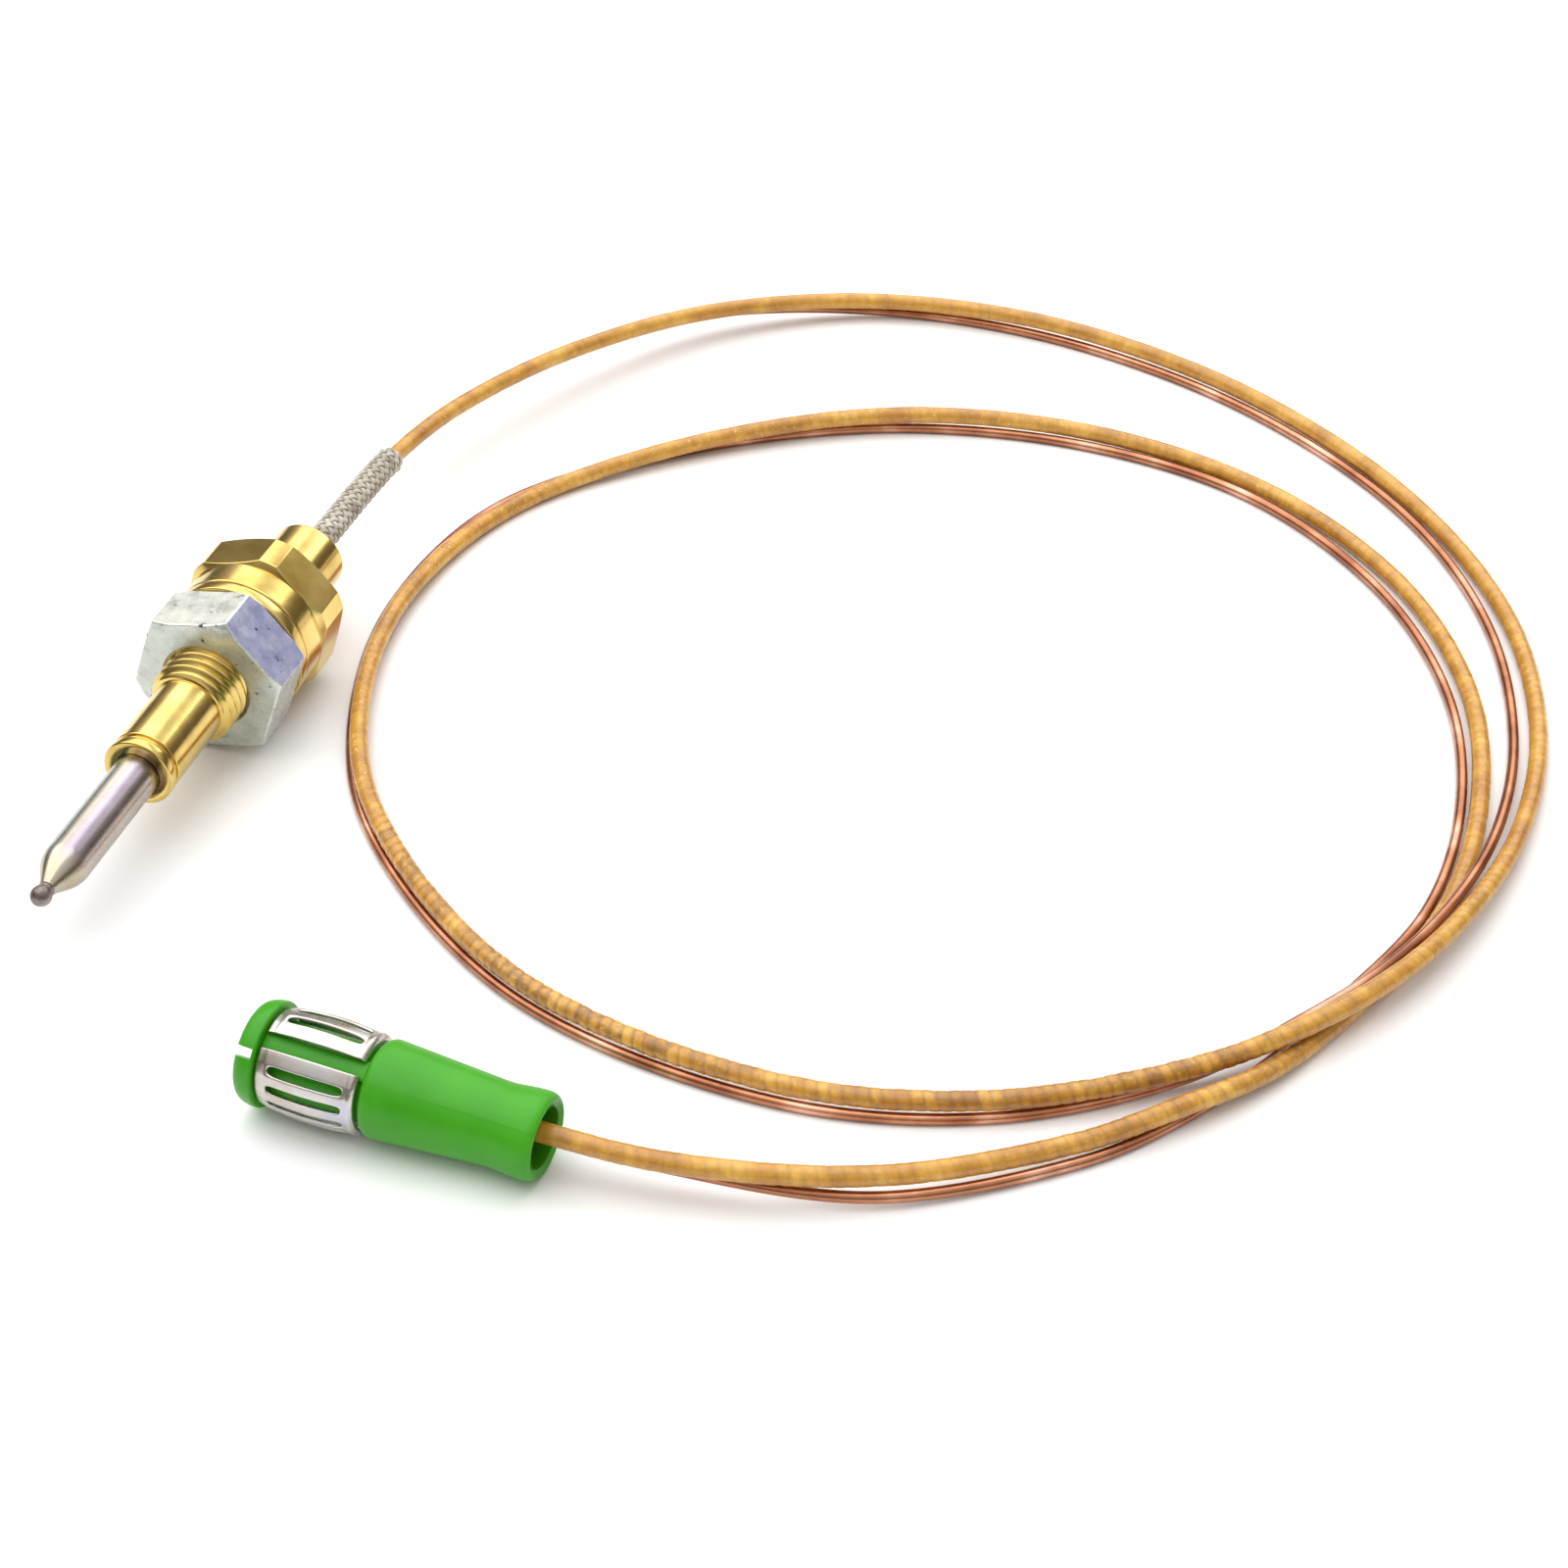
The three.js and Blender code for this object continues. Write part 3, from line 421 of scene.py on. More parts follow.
class Nodes:
    """A short way to write a material's node tree."""

    def __init__(self, name):
        self.material = bpy.data.materials.new(name)
        self.material.use_nodes = True
        self.tree = self.material.node_tree
        self.shader = self.tree.nodes["Principled BSDF"]
        self.place = self.add("ShaderNodeTexCoord").outputs["Object"]

    def fill(self, socket, value):
        """Gives an input another node's output, or a colour, a vector or a number."""
        if hasattr(value, "is_output"):
            self.tree.links.new(value, socket)
        elif socket.type == "RGBA":
            socket.default_value = (*value, 1)
        else:
            socket.default_value = value

    def add(self, kind, inputs=None, **settings):
        """A new node. Its inputs go by their names or numbers."""
        node = self.tree.nodes.new(kind)
        for key, value in settings.items():
            setattr(node, key, value)
        for key, value in (inputs or {}).items():
            self.fill(node.inputs[key], value)
        return node

    def set(self, **values):
        for key, value in values.items():
            self.shader.inputs[key.replace("_", " ")].default_value = value

    def noise(self, scale, detail=3, roughness=0.5):
        """Noise over the object's own coordinates. scale is one number, or one for each axis."""
        place = self.place
        if hasattr(scale, "__len__"):
            stretched = self.add("ShaderNodeMapping", {"Scale": scale, "Vector": place})
            place, scale = stretched.outputs["Vector"], 1.0
        return self.add("ShaderNodeTexNoise", {
            "Scale": scale, "Detail": detail, "Roughness": roughness, "Vector": place,
        }).outputs["Fac"]

    def position_share(self, axis, low, high):
        """How far along one of the object's own axes a point lies, from 0 at low to 1 at high."""
        split = self.add("ShaderNodeSeparateXYZ", {"Vector": self.place})
        return self.add("ShaderNodeMapRange", {
            "From Min": low, "From Max": high, "Value": split.outputs[axis],
        }).outputs["Result"]

    def facing(self, direction):
        """How squarely the surface faces one of the object's own directions: 1 when straight on."""
        normal = self.add("ShaderNodeTexCoord").outputs["Normal"]
        node = self.add("ShaderNodeVectorMath", operation="DOT_PRODUCT")
        self.fill(node.inputs[0], normal)
        self.fill(node.inputs[1], direction)
        return node.outputs["Value"]

    def attribute(self, name):
        return self.add("ShaderNodeAttribute", attribute_name=name).outputs["Fac"]

    def ramp(self, factor, *stops):
        node = self.add("ShaderNodeValToRGB", {"Fac": factor})
        fill_ramp(node.color_ramp, stops)
        return node.outputs["Color"]

    def mix(self, factor, first, second, blend="MIX"):
        """Between two colours. These are the numbers of the mix node's colour inputs and output."""
        inputs = {0: factor, 6: first, 7: second}
        return self.add("ShaderNodeMix", inputs, data_type="RGBA", blend_type=blend).outputs[2]

    def times(self, first, second):
        return self.add("ShaderNodeMath", {0: first, 1: second}, operation="MULTIPLY").outputs[0]

    def spread(self, factor, low, high):
        """A value from low to high as a factor goes from 0 to 1."""
        return self.add("ShaderNodeMapRange", {
            "To Min": low, "To Max": high, "Value": factor}).outputs["Result"]

    def bump(self, height, strength, distance=0.00002):
        return self.add("ShaderNodeBump", {
            "Strength": strength, "Distance": distance, "Height": height}).outputs["Normal"]

    def finish(self, colour, roughness=None, normal=None):
        given = {"Base Color": colour, "Roughness": roughness, "Normal": normal}
        for name, value in given.items():
            if value is not None:
                self.fill(self.shader.inputs[name], value)
        return self.material


def metal(name, stops, rough, marks, bump=(0.25,), cloud_scale=260):
    """A metal with cloudy colour, uneven roughness and fine tool marks.

    stops are the colours along the clouds. rough is the roughness from lowest to highest, and
    after them the scale of its own noise, or nothing when it follows the clouds. marks are the
    scale and detail of the tool marks, and bump their strength and depth.
    """
    nodes = Nodes(name)
    nodes.set(Metallic=1.0)
    clouds = nodes.noise(cloud_scale, detail=4)
    colour = nodes.ramp(clouds, *stops)
    normal = nodes.bump(nodes.noise(marks[0], detail=marks[1]), *bump)
    lowest, highest, *own_scale = rough
    patches = nodes.noise(own_scale[0]) if own_scale else clouds
    return nodes.finish(colour, nodes.spread(patches, lowest, highest), normal)


def inner_metal(name, light, dark, rough, marks_scale):
    return metal(name, ((0.35, dark), (0.65, light)), (*rough, 442), (marks_scale, 2))


def zinc_plate():
    """Zinc plate on a steel nut: mottled silver, a painted violet reflection on one side, painted
    shade on the front face and the lower side, with a few dark pits.
    """
    nodes = Nodes("zinc_plate")
    nodes.set(Metallic=0.6)
    clouds = nodes.noise(620, detail=5, roughness=0.65)
    silver = nodes.ramp(
        clouds, (0.32, (0.5, 0.53, 0.48)), (0.48, (0.78, 0.8, 0.74)), (0.66, (0.95, 0.95, 0.86)))
    violet = nodes.ramp(
        clouds, (0.3, (0.34, 0.36, 0.6)), (0.5, (0.5, 0.52, 0.8)), (0.7, (0.7, 0.72, 0.92)))
    # painted reflection: the flats facing up and to the right are coloured violet
    violet_reflection_side = nodes.ramp(nodes.facing((0.77, 0.0, 0.64)), (0.8, 0.0), (0.93, 1.0))
    colour = nodes.mix(violet_reflection_side, silver, violet)
    # painted shade: the face towards the tip is darkened to a grey-green
    front_face_shade = nodes.ramp(nodes.facing((0.0, -1.0, 0.0)), (0.6, 0.0), (0.95, 0.5))
    colour = nodes.mix(front_face_shade, colour, (0.34, 0.4, 0.36))
    # painted shade: the flats facing down and to the right are darkened
    lower_side_shade = nodes.ramp(nodes.facing((0.94, 0.0, -0.34)), (0.8, 0.0), (0.93, 0.55))
    colour = nodes.mix(lower_side_shade, colour, (0.38, 0.42, 0.4))
    pitted = nodes.ramp(nodes.noise(1500, detail=2), (0.26, 1.0), (0.31, 0.0))
    colour = nodes.mix(pitted, colour, (0.06, 0.05, 0.09))
    normal = nodes.bump(nodes.noise(1400, detail=4, roughness=0.7), 0.45, 0.00005)
    return nodes.finish(colour, nodes.spread(nodes.noise(700), 0.18, 0.38), normal)


def sheath_metal():
    """Nickel alloy tube: lengthwise drawing marks, and painted reflection bands, light and dark,
    that change across it.
    """
    nodes = Nodes("sheath_metal")
    nodes.set(Metallic=1.0)
    # painted reflection: light and dark bands run along the tube, changing from one side to the
    # other
    across = nodes.position_share("X", -TUBE_RADIUS * MM, TUBE_RADIUS * MM)
    reflection_bands = nodes.ramp(
        across, (0.05, (0.3, 0.4, 0.42)), (0.25, (0.55, 0.61, 0.6)), (0.38, (0.88, 0.84, 0.72)),
        (0.52, (0.47, 0.41, 0.36)), (0.67, (0.5, 0.43, 0.52)), (0.83, (0.33, 0.28, 0.31)),
        (0.97, (0.48, 0.42, 0.38)))
    clouds = nodes.ramp(nodes.noise(160), (0.35, 0.72), (0.65, 1.0))
    colour = nodes.mix(1.0, reflection_bands, clouds, blend="MULTIPLY")
    along = nodes.position_share("Y", tube_low[1] * MM, (tube_low[1] + CONE_LENGTH) * MM)
    cone = nodes.ramp(along, (0.5, 1.0), (1.0, 0.0))
    colour = nodes.mix(nodes.times(cone, 0.75), colour, (0.46, 0.4, 0.27))
    normal = nodes.bump(nodes.noise((5200, 90, 5200)), 0.2)
    return nodes.finish(colour, nodes.spread(nodes.noise(900), 0.2, 0.34), normal)


def braid_yarn():
    """Soiled beige yarn, with painted shade between its strands."""
    nodes = Nodes("braid_yarn")
    nodes.set(Metallic=0.0, Sheen_Weight=0.3, Sheen_Roughness=0.5)
    soiled = nodes.noise(700, detail=4)
    colour = nodes.ramp(
        soiled, (0.3, (0.36, 0.31, 0.24)), (0.5, (0.6, 0.54, 0.44)), (0.7, (0.8, 0.75, 0.65)))
    # painted shade: darker towards each yarn's edges and notches, darkest on the backing inside
    between = nodes.times(nodes.attribute("strand_shade"), 0.7)
    colour = nodes.mix(between, colour, (0.1, 0.075, 0.055))
    normal = nodes.bump(nodes.noise(9000, detail=2), 0.6, 0.00004)
    return nodes.finish(colour, nodes.spread(soiled, 0.55, 0.8), normal)


def amber_winding():
    """Amber varnish over a wound tape: painted shade where the winding dips, with blotches and
    glints.
    """
    nodes = Nodes("amber_winding")
    nodes.set(Metallic=0.0, IOR=1.5, Coat_Weight=0.4, Coat_Roughness=0.22, Subsurface_Weight=0.08,
              Subsurface_Scale=0.0005, Subsurface_Radius=(1.0, 0.45, 0.12))
    clouds = nodes.noise(330, detail=5, roughness=0.6)
    colour = nodes.ramp(
        clouds, (0.3, (0.42, 0.17, 0.014)), (0.5, (0.6, 0.29, 0.027)), (0.68, (0.76, 0.43, 0.065)))
    blotch = nodes.ramp(nodes.noise(620), (0.46, 0.0), (0.58, 1.0))
    blotch = nodes.times(blotch, nodes.times(nodes.attribute("boldness"), 0.7))
    colour = nodes.mix(blotch, colour, (0.24, 0.1, 0.02))
    grain = nodes.noise(2600, roughness=0.7)
    glints = nodes.ramp(grain, (0.58, 0.0), (0.7, 1.0))
    glints = nodes.times(glints, nodes.attribute("specks"))
    colour = nodes.mix(glints, colour, (0.9, 0.58, 0.12))
    # painted shade: darker where the winding dips
    groove = nodes.times(nodes.attribute("groove"), 0.65)
    colour = nodes.mix(groove, colour, (0.22, 0.085, 0.014))
    return nodes.finish(colour, nodes.spread(grain, 0.26, 0.5), nodes.bump(grain, 0.35, 0.00004))


def green_moulding():
    """Glossy green plastic with a faint moulded skin."""
    nodes = Nodes("green_moulding")
    nodes.set(Metallic=0.0, IOR=1.47, Subsurface_Weight=0.05, Subsurface_Scale=0.0006,
              Subsurface_Radius=(0.4, 1.0, 0.2), Specular_IOR_Level=0.35)
    clouds = nodes.noise(150)
    colour = nodes.ramp(clouds, (0.35, (0.038, 0.31, 0.004)), (0.65, (0.055, 0.37, 0.008)))
    roughness = nodes.spread(nodes.noise(400), 0.3, 0.44)
    return nodes.finish(colour, roughness, nodes.bump(nodes.noise(5200), 0.12))


def inner_solid(name, light, dark, rough):
    """A non-metal inner piece with slightly uneven colour and a fine skin."""
    nodes = Nodes(name)
    clouds = nodes.noise(400, detail=4)
    colour = nodes.ramp(clouds, (0.35, dark), (0.65, light))
    normal = nodes.bump(nodes.noise(3200), 0.3, 0.00003)
    return nodes.finish(colour, nodes.spread(clouds, *rough), normal)


BRASS_COLOURS = (0.3, (0.55, 0.38, 0.1)), (0.55, (0.74, 0.55, 0.18)), (0.75, (0.86, 0.68, 0.29))
WELD_COLOURS = (0.35, (0.16, 0.13, 0.12)), (0.55, (0.3, 0.25, 0.24)), (0.7, (0.48, 0.42, 0.38))
COPPER_COLOURS = (0.35, (0.3, 0.11, 0.06)), (0.55, (0.5, 0.22, 0.12)), (0.7, (0.76, 0.42, 0.3))
PLATE_COLOURS = (
    (0.28, (0.48, 0.4, 0.32)), (0.42, (0.56, 0.51, 0.47)), (0.56, (0.62, 0.6, 0.57)),
    (0.72, (0.54, 0.52, 0.6)))

MATERIALS = {
    # lathe-turned, with fine rings round the axis
    "brass": metal(
        "turned_brass", BRASS_COLOURS, (0.13, 0.24, 500), ((60, 9000, 60), 3), (0.22,), 220),
    "zinc_steel": zinc_plate(),
    "nickel_tube": sheath_metal(),
    "welded_alloy": metal(
        "weld_metal", WELD_COLOURS, (0.3, 0.55), (3000, 4), (0.5, 0.00004), 900),
    "constantan": inner_metal(
        "constantan_wire", (0.62, 0.52, 0.42), (0.42, 0.34, 0.28), (0.3, 0.45), (900, 60, 900)),
    "tinned_metal": inner_metal(
        "tinned_metal", (0.74, 0.73, 0.7), (0.52, 0.51, 0.49), (0.25, 0.42), (700, 700, 700)),
    "copper": metal("copper_skin", COPPER_COLOURS, (0.2, 0.36), (3500, 2), (0.14,), 180),
    "braid": braid_yarn(),
    "amber_varnish": amber_winding(),
    "green_plastic": green_moulding(),
    # plated spring metal, rubbed lengthwise
    "contact_metal": metal(
        "contact_plate", PLATE_COLOURS, (0.2, 0.36, 800), ((120, 4200, 4200), 3), (0.15,), 300),
    "glass_fibre": inner_solid(
        "glass_fibre_tube", (0.8, 0.77, 0.68), (0.62, 0.58, 0.48), (0.7, 0.9)),
    "white_plastic": inner_solid(
        "white_insulator", (0.86, 0.86, 0.83), (0.78, 0.78, 0.74), (0.4, 0.55)),
}


# ---------- sensor head ----------

def build_bead():
    """The welded bead, slightly lumpy, with a short waist where it meets the tube."""
    radius, waist_radius, neck_radius = 0.92, 0.72, 0.74
    waist, back = TIP_Y + 1.75, TIP_Y + 1.85
    lumps_per_metre, lump_depth, lumps_end = 900, 0.045, TIP_Y + 1.7
    centre = TIP_Y + radius
    last_angle = math.pi - math.asin(neck_radius / radius)
    steps = 22
    outline = []
    for i in range(steps + 1):
        angle = last_angle * i / steps
        outline.append((radius * math.sin(angle), centre - radius * math.cos(angle)))
    outline += [(waist_radius, waist), (neck_radius, back), (0, back)]
    piece = turned_piece(
        "hot_junction_bead_welded", outline, "welded_alloy", "hot_junction_bead", sides=48)
    for vertex in piece.data.vertices:
        place = vertex.co - Vector((0, centre * MM, AXIS_Z * MM))
        lump = noise.noise(place * lumps_per_metre) * lump_depth
        if math.hypot(place.x, place.z) > 0 and vertex.co.y < lumps_end * MM:
            vertex.co -= place.normalized() * abs(lump) * MM


def build_sheath_tube():
    """Drawn tube, swaged to a blunt cone at the hot junction."""
    neck, shoulder, end = tube_low[1], tube_low[1] + CONE_LENGTH, tube_high[1]
    neck_radius, bore, neck_bore = 0.76, TUBE_RADIUS - 0.36, 0.36
    cone_radius, cone_start = neck_radius + 0.05, neck + 0.25
    roundness = 1.1
    outline = [(neck_bore, neck), (neck_radius - 0.06, neck), (neck_radius, neck + 0.06),
               (neck_radius, neck + 0.2)]
    steps = 26
    for i in range(steps + 1):
        bulge = math.sin(i / steps * math.pi / 2) ** roundness
        radius = cone_radius + (TUBE_RADIUS - cone_radius) * bulge
        outline.append((radius, cone_start + (shoulder - cone_start) * i / steps))
    steps = 30
    outline += [(TUBE_RADIUS, shoulder + (end - shoulder) * i / steps) for i in range(1, steps + 1)]
    outline += [(bore, end), (bore, shoulder + 0.5), (neck_bore, neck + 1.4)]
    piece = turned_piece("sheath_tube_swaged", outline, "nickel_tube", "sheath_tube", closed=True)
    weight_normals(piece)


THREAD_CREST = 3.94
THREAD_ROOT = 3.42
THREAD_START = 1.15
THREAD_END = 11.75
THREAD_RUN_IN = 0.5         # over which it reaches its full depth, at each end
THREAD_PITCH = 1
FLAT_SHARE = 0.12           # of the way between root and crest, cut off at each of them
FLANK_ROUNDNESS = 0.35
THREAD_ROWS_PER_MM = 14


def thread_radius(y, clearance=0, fade=1):
    """The radius of a right-handed V thread as a function of angle, at one place along it.

    clearance moves it outwards, and a fade below 1 makes it shallower.
    """
    def radius(angle):
        phase = ((y - THREAD_START) / THREAD_PITCH + angle / 360) % 1
        rise = 1 - abs(2 * phase - 1)
        flank = min(1, max(0, (rise - FLAT_SHARE) / (1 - 2 * FLAT_SHARE)))
        flank = smooth_step(flank) * FLANK_ROUNDNESS + flank * (1 - FLANK_ROUNDNESS)
        return THREAD_ROOT + clearance + (THREAD_CREST - THREAD_ROOT) * flank * fade
    return radius


def build_brass_front():
    """The plain sleeve with its end flange and groove, and the thread behind it."""
    bore = TUBE_RADIUS + 0.05
    front = SLEEVE_FRONT
    flange, groove, sleeve = 3.24, 2.85, 3.18
    outline = round_corners([
        (bore, front, 0), (flange, front, 0.22), (flange, front + 0.9, 0.12),
        (groove, front + 0.95, 0.08), (groove, front + 1.45, 0.08), (sleeve, front + 1.5, 0.1),
        (sleeve, THREAD_START - 0.02, 0.05), (THREAD_ROOT - 0.04, THREAD_START, 0),
    ], steps=3)
    angles = even_angles(96)
    rings = head_rings(outline, angles)
    rows = int((THREAD_END - THREAD_START) * THREAD_ROWS_PER_MM)
    for i in range(1, rows + 1):
        y = THREAD_START + (THREAD_END - THREAD_START) * i / rows
        run_in, run_out = (y - THREAD_START) / THREAD_RUN_IN, (THREAD_END - y) / THREAD_RUN_IN
        fade = min(1, max(0, run_in), max(0, run_out))
        rings.append(head_ring(thread_radius(y, fade=fade), y, angles))
    # the sleeve's hidden end, inside the shoulder
    rings.append(head_ring(THREAD_ROOT, THREAD_END + 0.6, angles))
    rings.append(head_ring(bore, THREAD_END + 0.6, angles))
    piece = sweep_piece("brass_sleeve_and_thread", rings, "brass", "brass_body", closed=True)
    weight_normals(piece)


def hexagon_angles(turn, flat_half, flat_steps=10, corner_steps=4):
    """Angles around a hexagon, with one at each end of each flat."""
    angles = []
    for flat in range(6):
        middle = turn + 30 + 60 * flat
        angles += [middle - flat_half + 2 * flat_half * i / flat_steps for i in range(flat_steps)]
        gap = 60 - 2 * flat_half
        angles += [middle + flat_half + gap * i / corner_steps for i in range(corner_steps)]
    return angles


def hexagon_radius(flats, turn, limit):
    """A hexagon's radius as a function of angle, cut off by a circle at its corners."""
    def radius(angle):
        off = (angle - turn) % 60 - 30
        return min(flats / 2 / math.cos(math.radians(off)), limit)
    return radius


def chamfered_edge(radius, face_radius, slope, face_y, into, angles):
    """The ring where a hexagon's sides meet its conical chamfer, which dips at the corners."""
    ring = []
    for angle in angles:
        reach = radius(angle)
        depth = max(0, reach - face_radius) * slope
        ring.append(head_point(reach, angle, face_y + into * depth))
    return ring


def off_axis(co):
    return math.hypot(co.x, co.z - AXIS_Z * MM)


def build_brass_rear():
    """The round shoulder, the hexagon with corners left from the bar, and the collar."""
    turn, flats, corner = 14, 13.4, 7.3
    hex_start, hex_end = 14.6, 18.95
    face_radius, slope = 6.55, 0.52
    lip, shoulder, collar, bore, bush_bore = 3.0, 6.7, 3.53, 2.45, 2.3
    front, lip_end = THREAD_END, THREAD_END + 0.5
    flat_half = math.degrees(math.acos(flats / 2 / corner))
    angles = hexagon_angles(turn, flat_half)
    radius = hexagon_radius(flats, turn, corner)
    rings = head_rings(round_corners([
        (lip, front, 0), (shoulder, front, 0.2), (shoulder, hex_start - 0.02, 0),
    ]), angles)
    rings += [
        head_ring(face_radius, hex_start, angles),
        chamfered_edge(radius, face_radius, slope, hex_start, 1, angles),
        chamfered_edge(radius, face_radius, slope, hex_end, -1, angles),
        head_ring(face_radius, hex_end, angles),
    ]
    rings += head_rings(round_corners([
        (collar, hex_end, 0.12), (collar, COLLAR_END, 0.28), (bore, COLLAR_END, 0.1),
        (bore, COLLAR_END - 4.2, 0), (bush_bore, COLLAR_END - 4.3, 0), (bush_bore, lip_end, 0),
        (lip, lip_end, 0),
    ]), angles)
    piece = sweep_piece(
        "brass_shoulder_hexagon_collar", rings, "brass", "brass_body", closed=True)
    low, high = (hex_start - 0.3) * MM, (hex_end + 0.05) * MM
    soften_edges(piece, 0.07 * MM, lambda co: low < co.y < high and off_axis(co) > 5 * MM)
    weight_normals(piece)


def build_lock_nut():
    """The hexagon nut, chamfered at both faces, with its own thread inside."""
    turn, flats = 10, 13
    face_radius, face_inset, slope = 6.85, 0.12, math.tan(math.pi / 6)
    mouth, clearance, rows_per_mm = 4.29, 0.13, 12
    height = NUT_BACK - NUT_FRONT
    angles = hexagon_angles(turn, 29.2, flat_steps=12, corner_steps=3)
    radius = hexagon_radius(flats, turn, flats / 2 / math.cos(math.pi / 6))

    def face(angle):
        return min(face_radius, radius(angle)) - face_inset

    rings = [
        head_ring(mouth, NUT_FRONT, angles),
        head_ring(face, NUT_FRONT, angles),
        chamfered_edge(radius, face_radius, slope, NUT_FRONT + 0.1, 1, angles),
        chamfered_edge(radius, face_radius, slope, NUT_BACK - 0.1, -1, angles),
        head_ring(face, NUT_BACK, angles),
        head_ring(mouth, NUT_BACK, angles),
    ]
    rows = int(height * rows_per_mm)
    for i in range(rows + 1):
        y = NUT_BACK - 0.02 - (height - 0.04) * i / rows
        thread = thread_radius(y, clearance)
        flare = max(mouth - (NUT_BACK - y), mouth - (y - NUT_FRONT)) - 0.02
        rings.append(head_ring(lambda angle: max(thread(angle), flare), y, angles))
    piece = sweep_piece("lock_nut_hexagon", rings, "zinc_steel", "lock_nut", "nut", closed=True)
    soften_edges(piece, 0.17 * MM, lambda co: off_axis(co) > 5 * MM,
                 segments=4, sharpest=math.radians(35))
    weight_normals(piece)


def build_washer():
    bore, rim = 4.2, 6.75
    outline = round_corners([
        (bore, WASHER_FRONT, 0.06), (rim, WASHER_FRONT, 0.18),
        (rim, WASHER_BACK, 0.18), (bore, WASHER_BACK, 0.06),
    ])
    piece = turned_piece(
        "seat_washer_ring", outline, "brass", "seat_washer", body="washer", closed=True)
    weight_normals(piece)


# ---------- cords ----------

def section_axes(line, index):
    """The level sideways direction and the upward one across a line at one of its points."""
    tangent = (line[min(index + 1, len(line) - 1)] - line[max(index - 1, 0)]).normalized()
    side = tangent.cross(Vector((0, 0, 1))).normalized()
    return side, side.cross(tangent).normalized()


def around(centre, side, up, radius, turn):
    """A point at a radius and an angle round a cord's centre."""
    return centre + side * (radius * math.cos(turn)) + up * (radius * math.sin(turn))


def round_ring(centre, side, up, radius, sides):
    return [around(centre, side, up, radius, 2 * math.pi * i / sides) for i in range(sides)]


LEAD_CHARACTER = [
    # metres along the lead, how strongly its winding shows there, and how speckled it is
    (0.0, 0.2, 0.35), (0.147, 0.25, 0.4), (0.19, 0.35, 0.5), (0.25, 0.45, 0.4), (0.27, 1.0, 0.4),
    (0.335, 1.0, 0.5), (0.35, 0.4, 1.0), (0.39, 0.3, 1.0), (0.41, 0.25, 0.8), (0.52, 0.3, 0.5),
    (0.545, 0.5, 0.5), (0.59, 0.5, 0.4), (0.61, 0.35, 0.3), (0.7, 0.35, 0.3),
]
WINDING_PITCH = 0.00105


def lead_character(travelled):
    """How strongly the winding and the specks show at a distance along the lead."""
    for start, end in zip(LEAD_CHARACTER, LEAD_CHARACTER[1:]):
        if travelled <= end[0]:
            share = (travelled - start[0]) / (end[0] - start[0])
            return [low + (high - low) * share for low, high in zip(start[1:], end[1:])]
    return LEAD_CHARACTER[-1][1:]


def build_amber_lead(line):
    """Insulation tape wound round the conductor: a ridge for each turn, bolder in some places."""
    sides = 16
    groove_depth, bulge_height, lump_height = 0.095, 0.1, 0.02     # shares of the radius
    groove_narrowness = 2.4
    rings, groove_shades, boldnesses, specks = [], [], [], []
    travelled = 0.0
    for index, centre in enumerate(line):
        if index:
            travelled += (centre - line[index - 1]).length
        side, up = section_axes(line, index)
        boldness, speckled = lead_character(travelled)
        boldness *= 0.8 + 0.5 * noise.noise(Vector((travelled * 90, 1.5, 3)))
        wander = noise.noise(Vector((travelled * 260, 4.2, 0))) * 0.22
        ring = []
        for i in range(sides):
            turn = 2 * math.pi * i / sides
            across, rise = math.cos(turn), math.sin(turn)
            phase = (travelled / WINDING_PITCH + i / sides + wander) % 1
            groove = max(0, 1 - abs(2 * phase - 1) * groove_narrowness) * boldness
            bulge = noise.noise(Vector((travelled * 640, across * 0.8, rise * 0.8)))
            lump = noise.noise(Vector((travelled * 1500, across, rise + 9)))
            swell = bulge_height * boldness * bulge + lump_height * lump - groove_depth * groove
            ring.append(around(centre, side, up, LEAD_DIAMETER / 2 * (1 + swell), turn))
            # the dip's depth is kept as painted shade for the material
            groove_shades.append(min(1, groove * 1.3))
            boldnesses.append(min(1, boldness))
            specks.append(speckled)
        rings.append(ring)
    piece = sweep_piece("amber_lead_wound", rings, "amber_varnish", "amber_lead")
    set_point_values(piece, "groove", groove_shades)
    set_point_values(piece, "boldness", boldnesses)
    set_point_values(piece, "specks", specks)
    return piece


def build_copper_wire(line):
    rings = []
    for index, centre in enumerate(line):
        side, up = section_axes(line, index)
        rings.append(round_ring(centre, side, up, WIRE_DIAMETER / 2, sides=14))
    return sweep_piece("copper_return_wire", rings, "copper", "copper_wire")


def last_before_end(travelled, gap):
    """The last place on a line that is at least a gap away from its end."""
    index = len(travelled) - 1
    while travelled[-1] - travelled[index] < gap:
        index -= 1
    return index


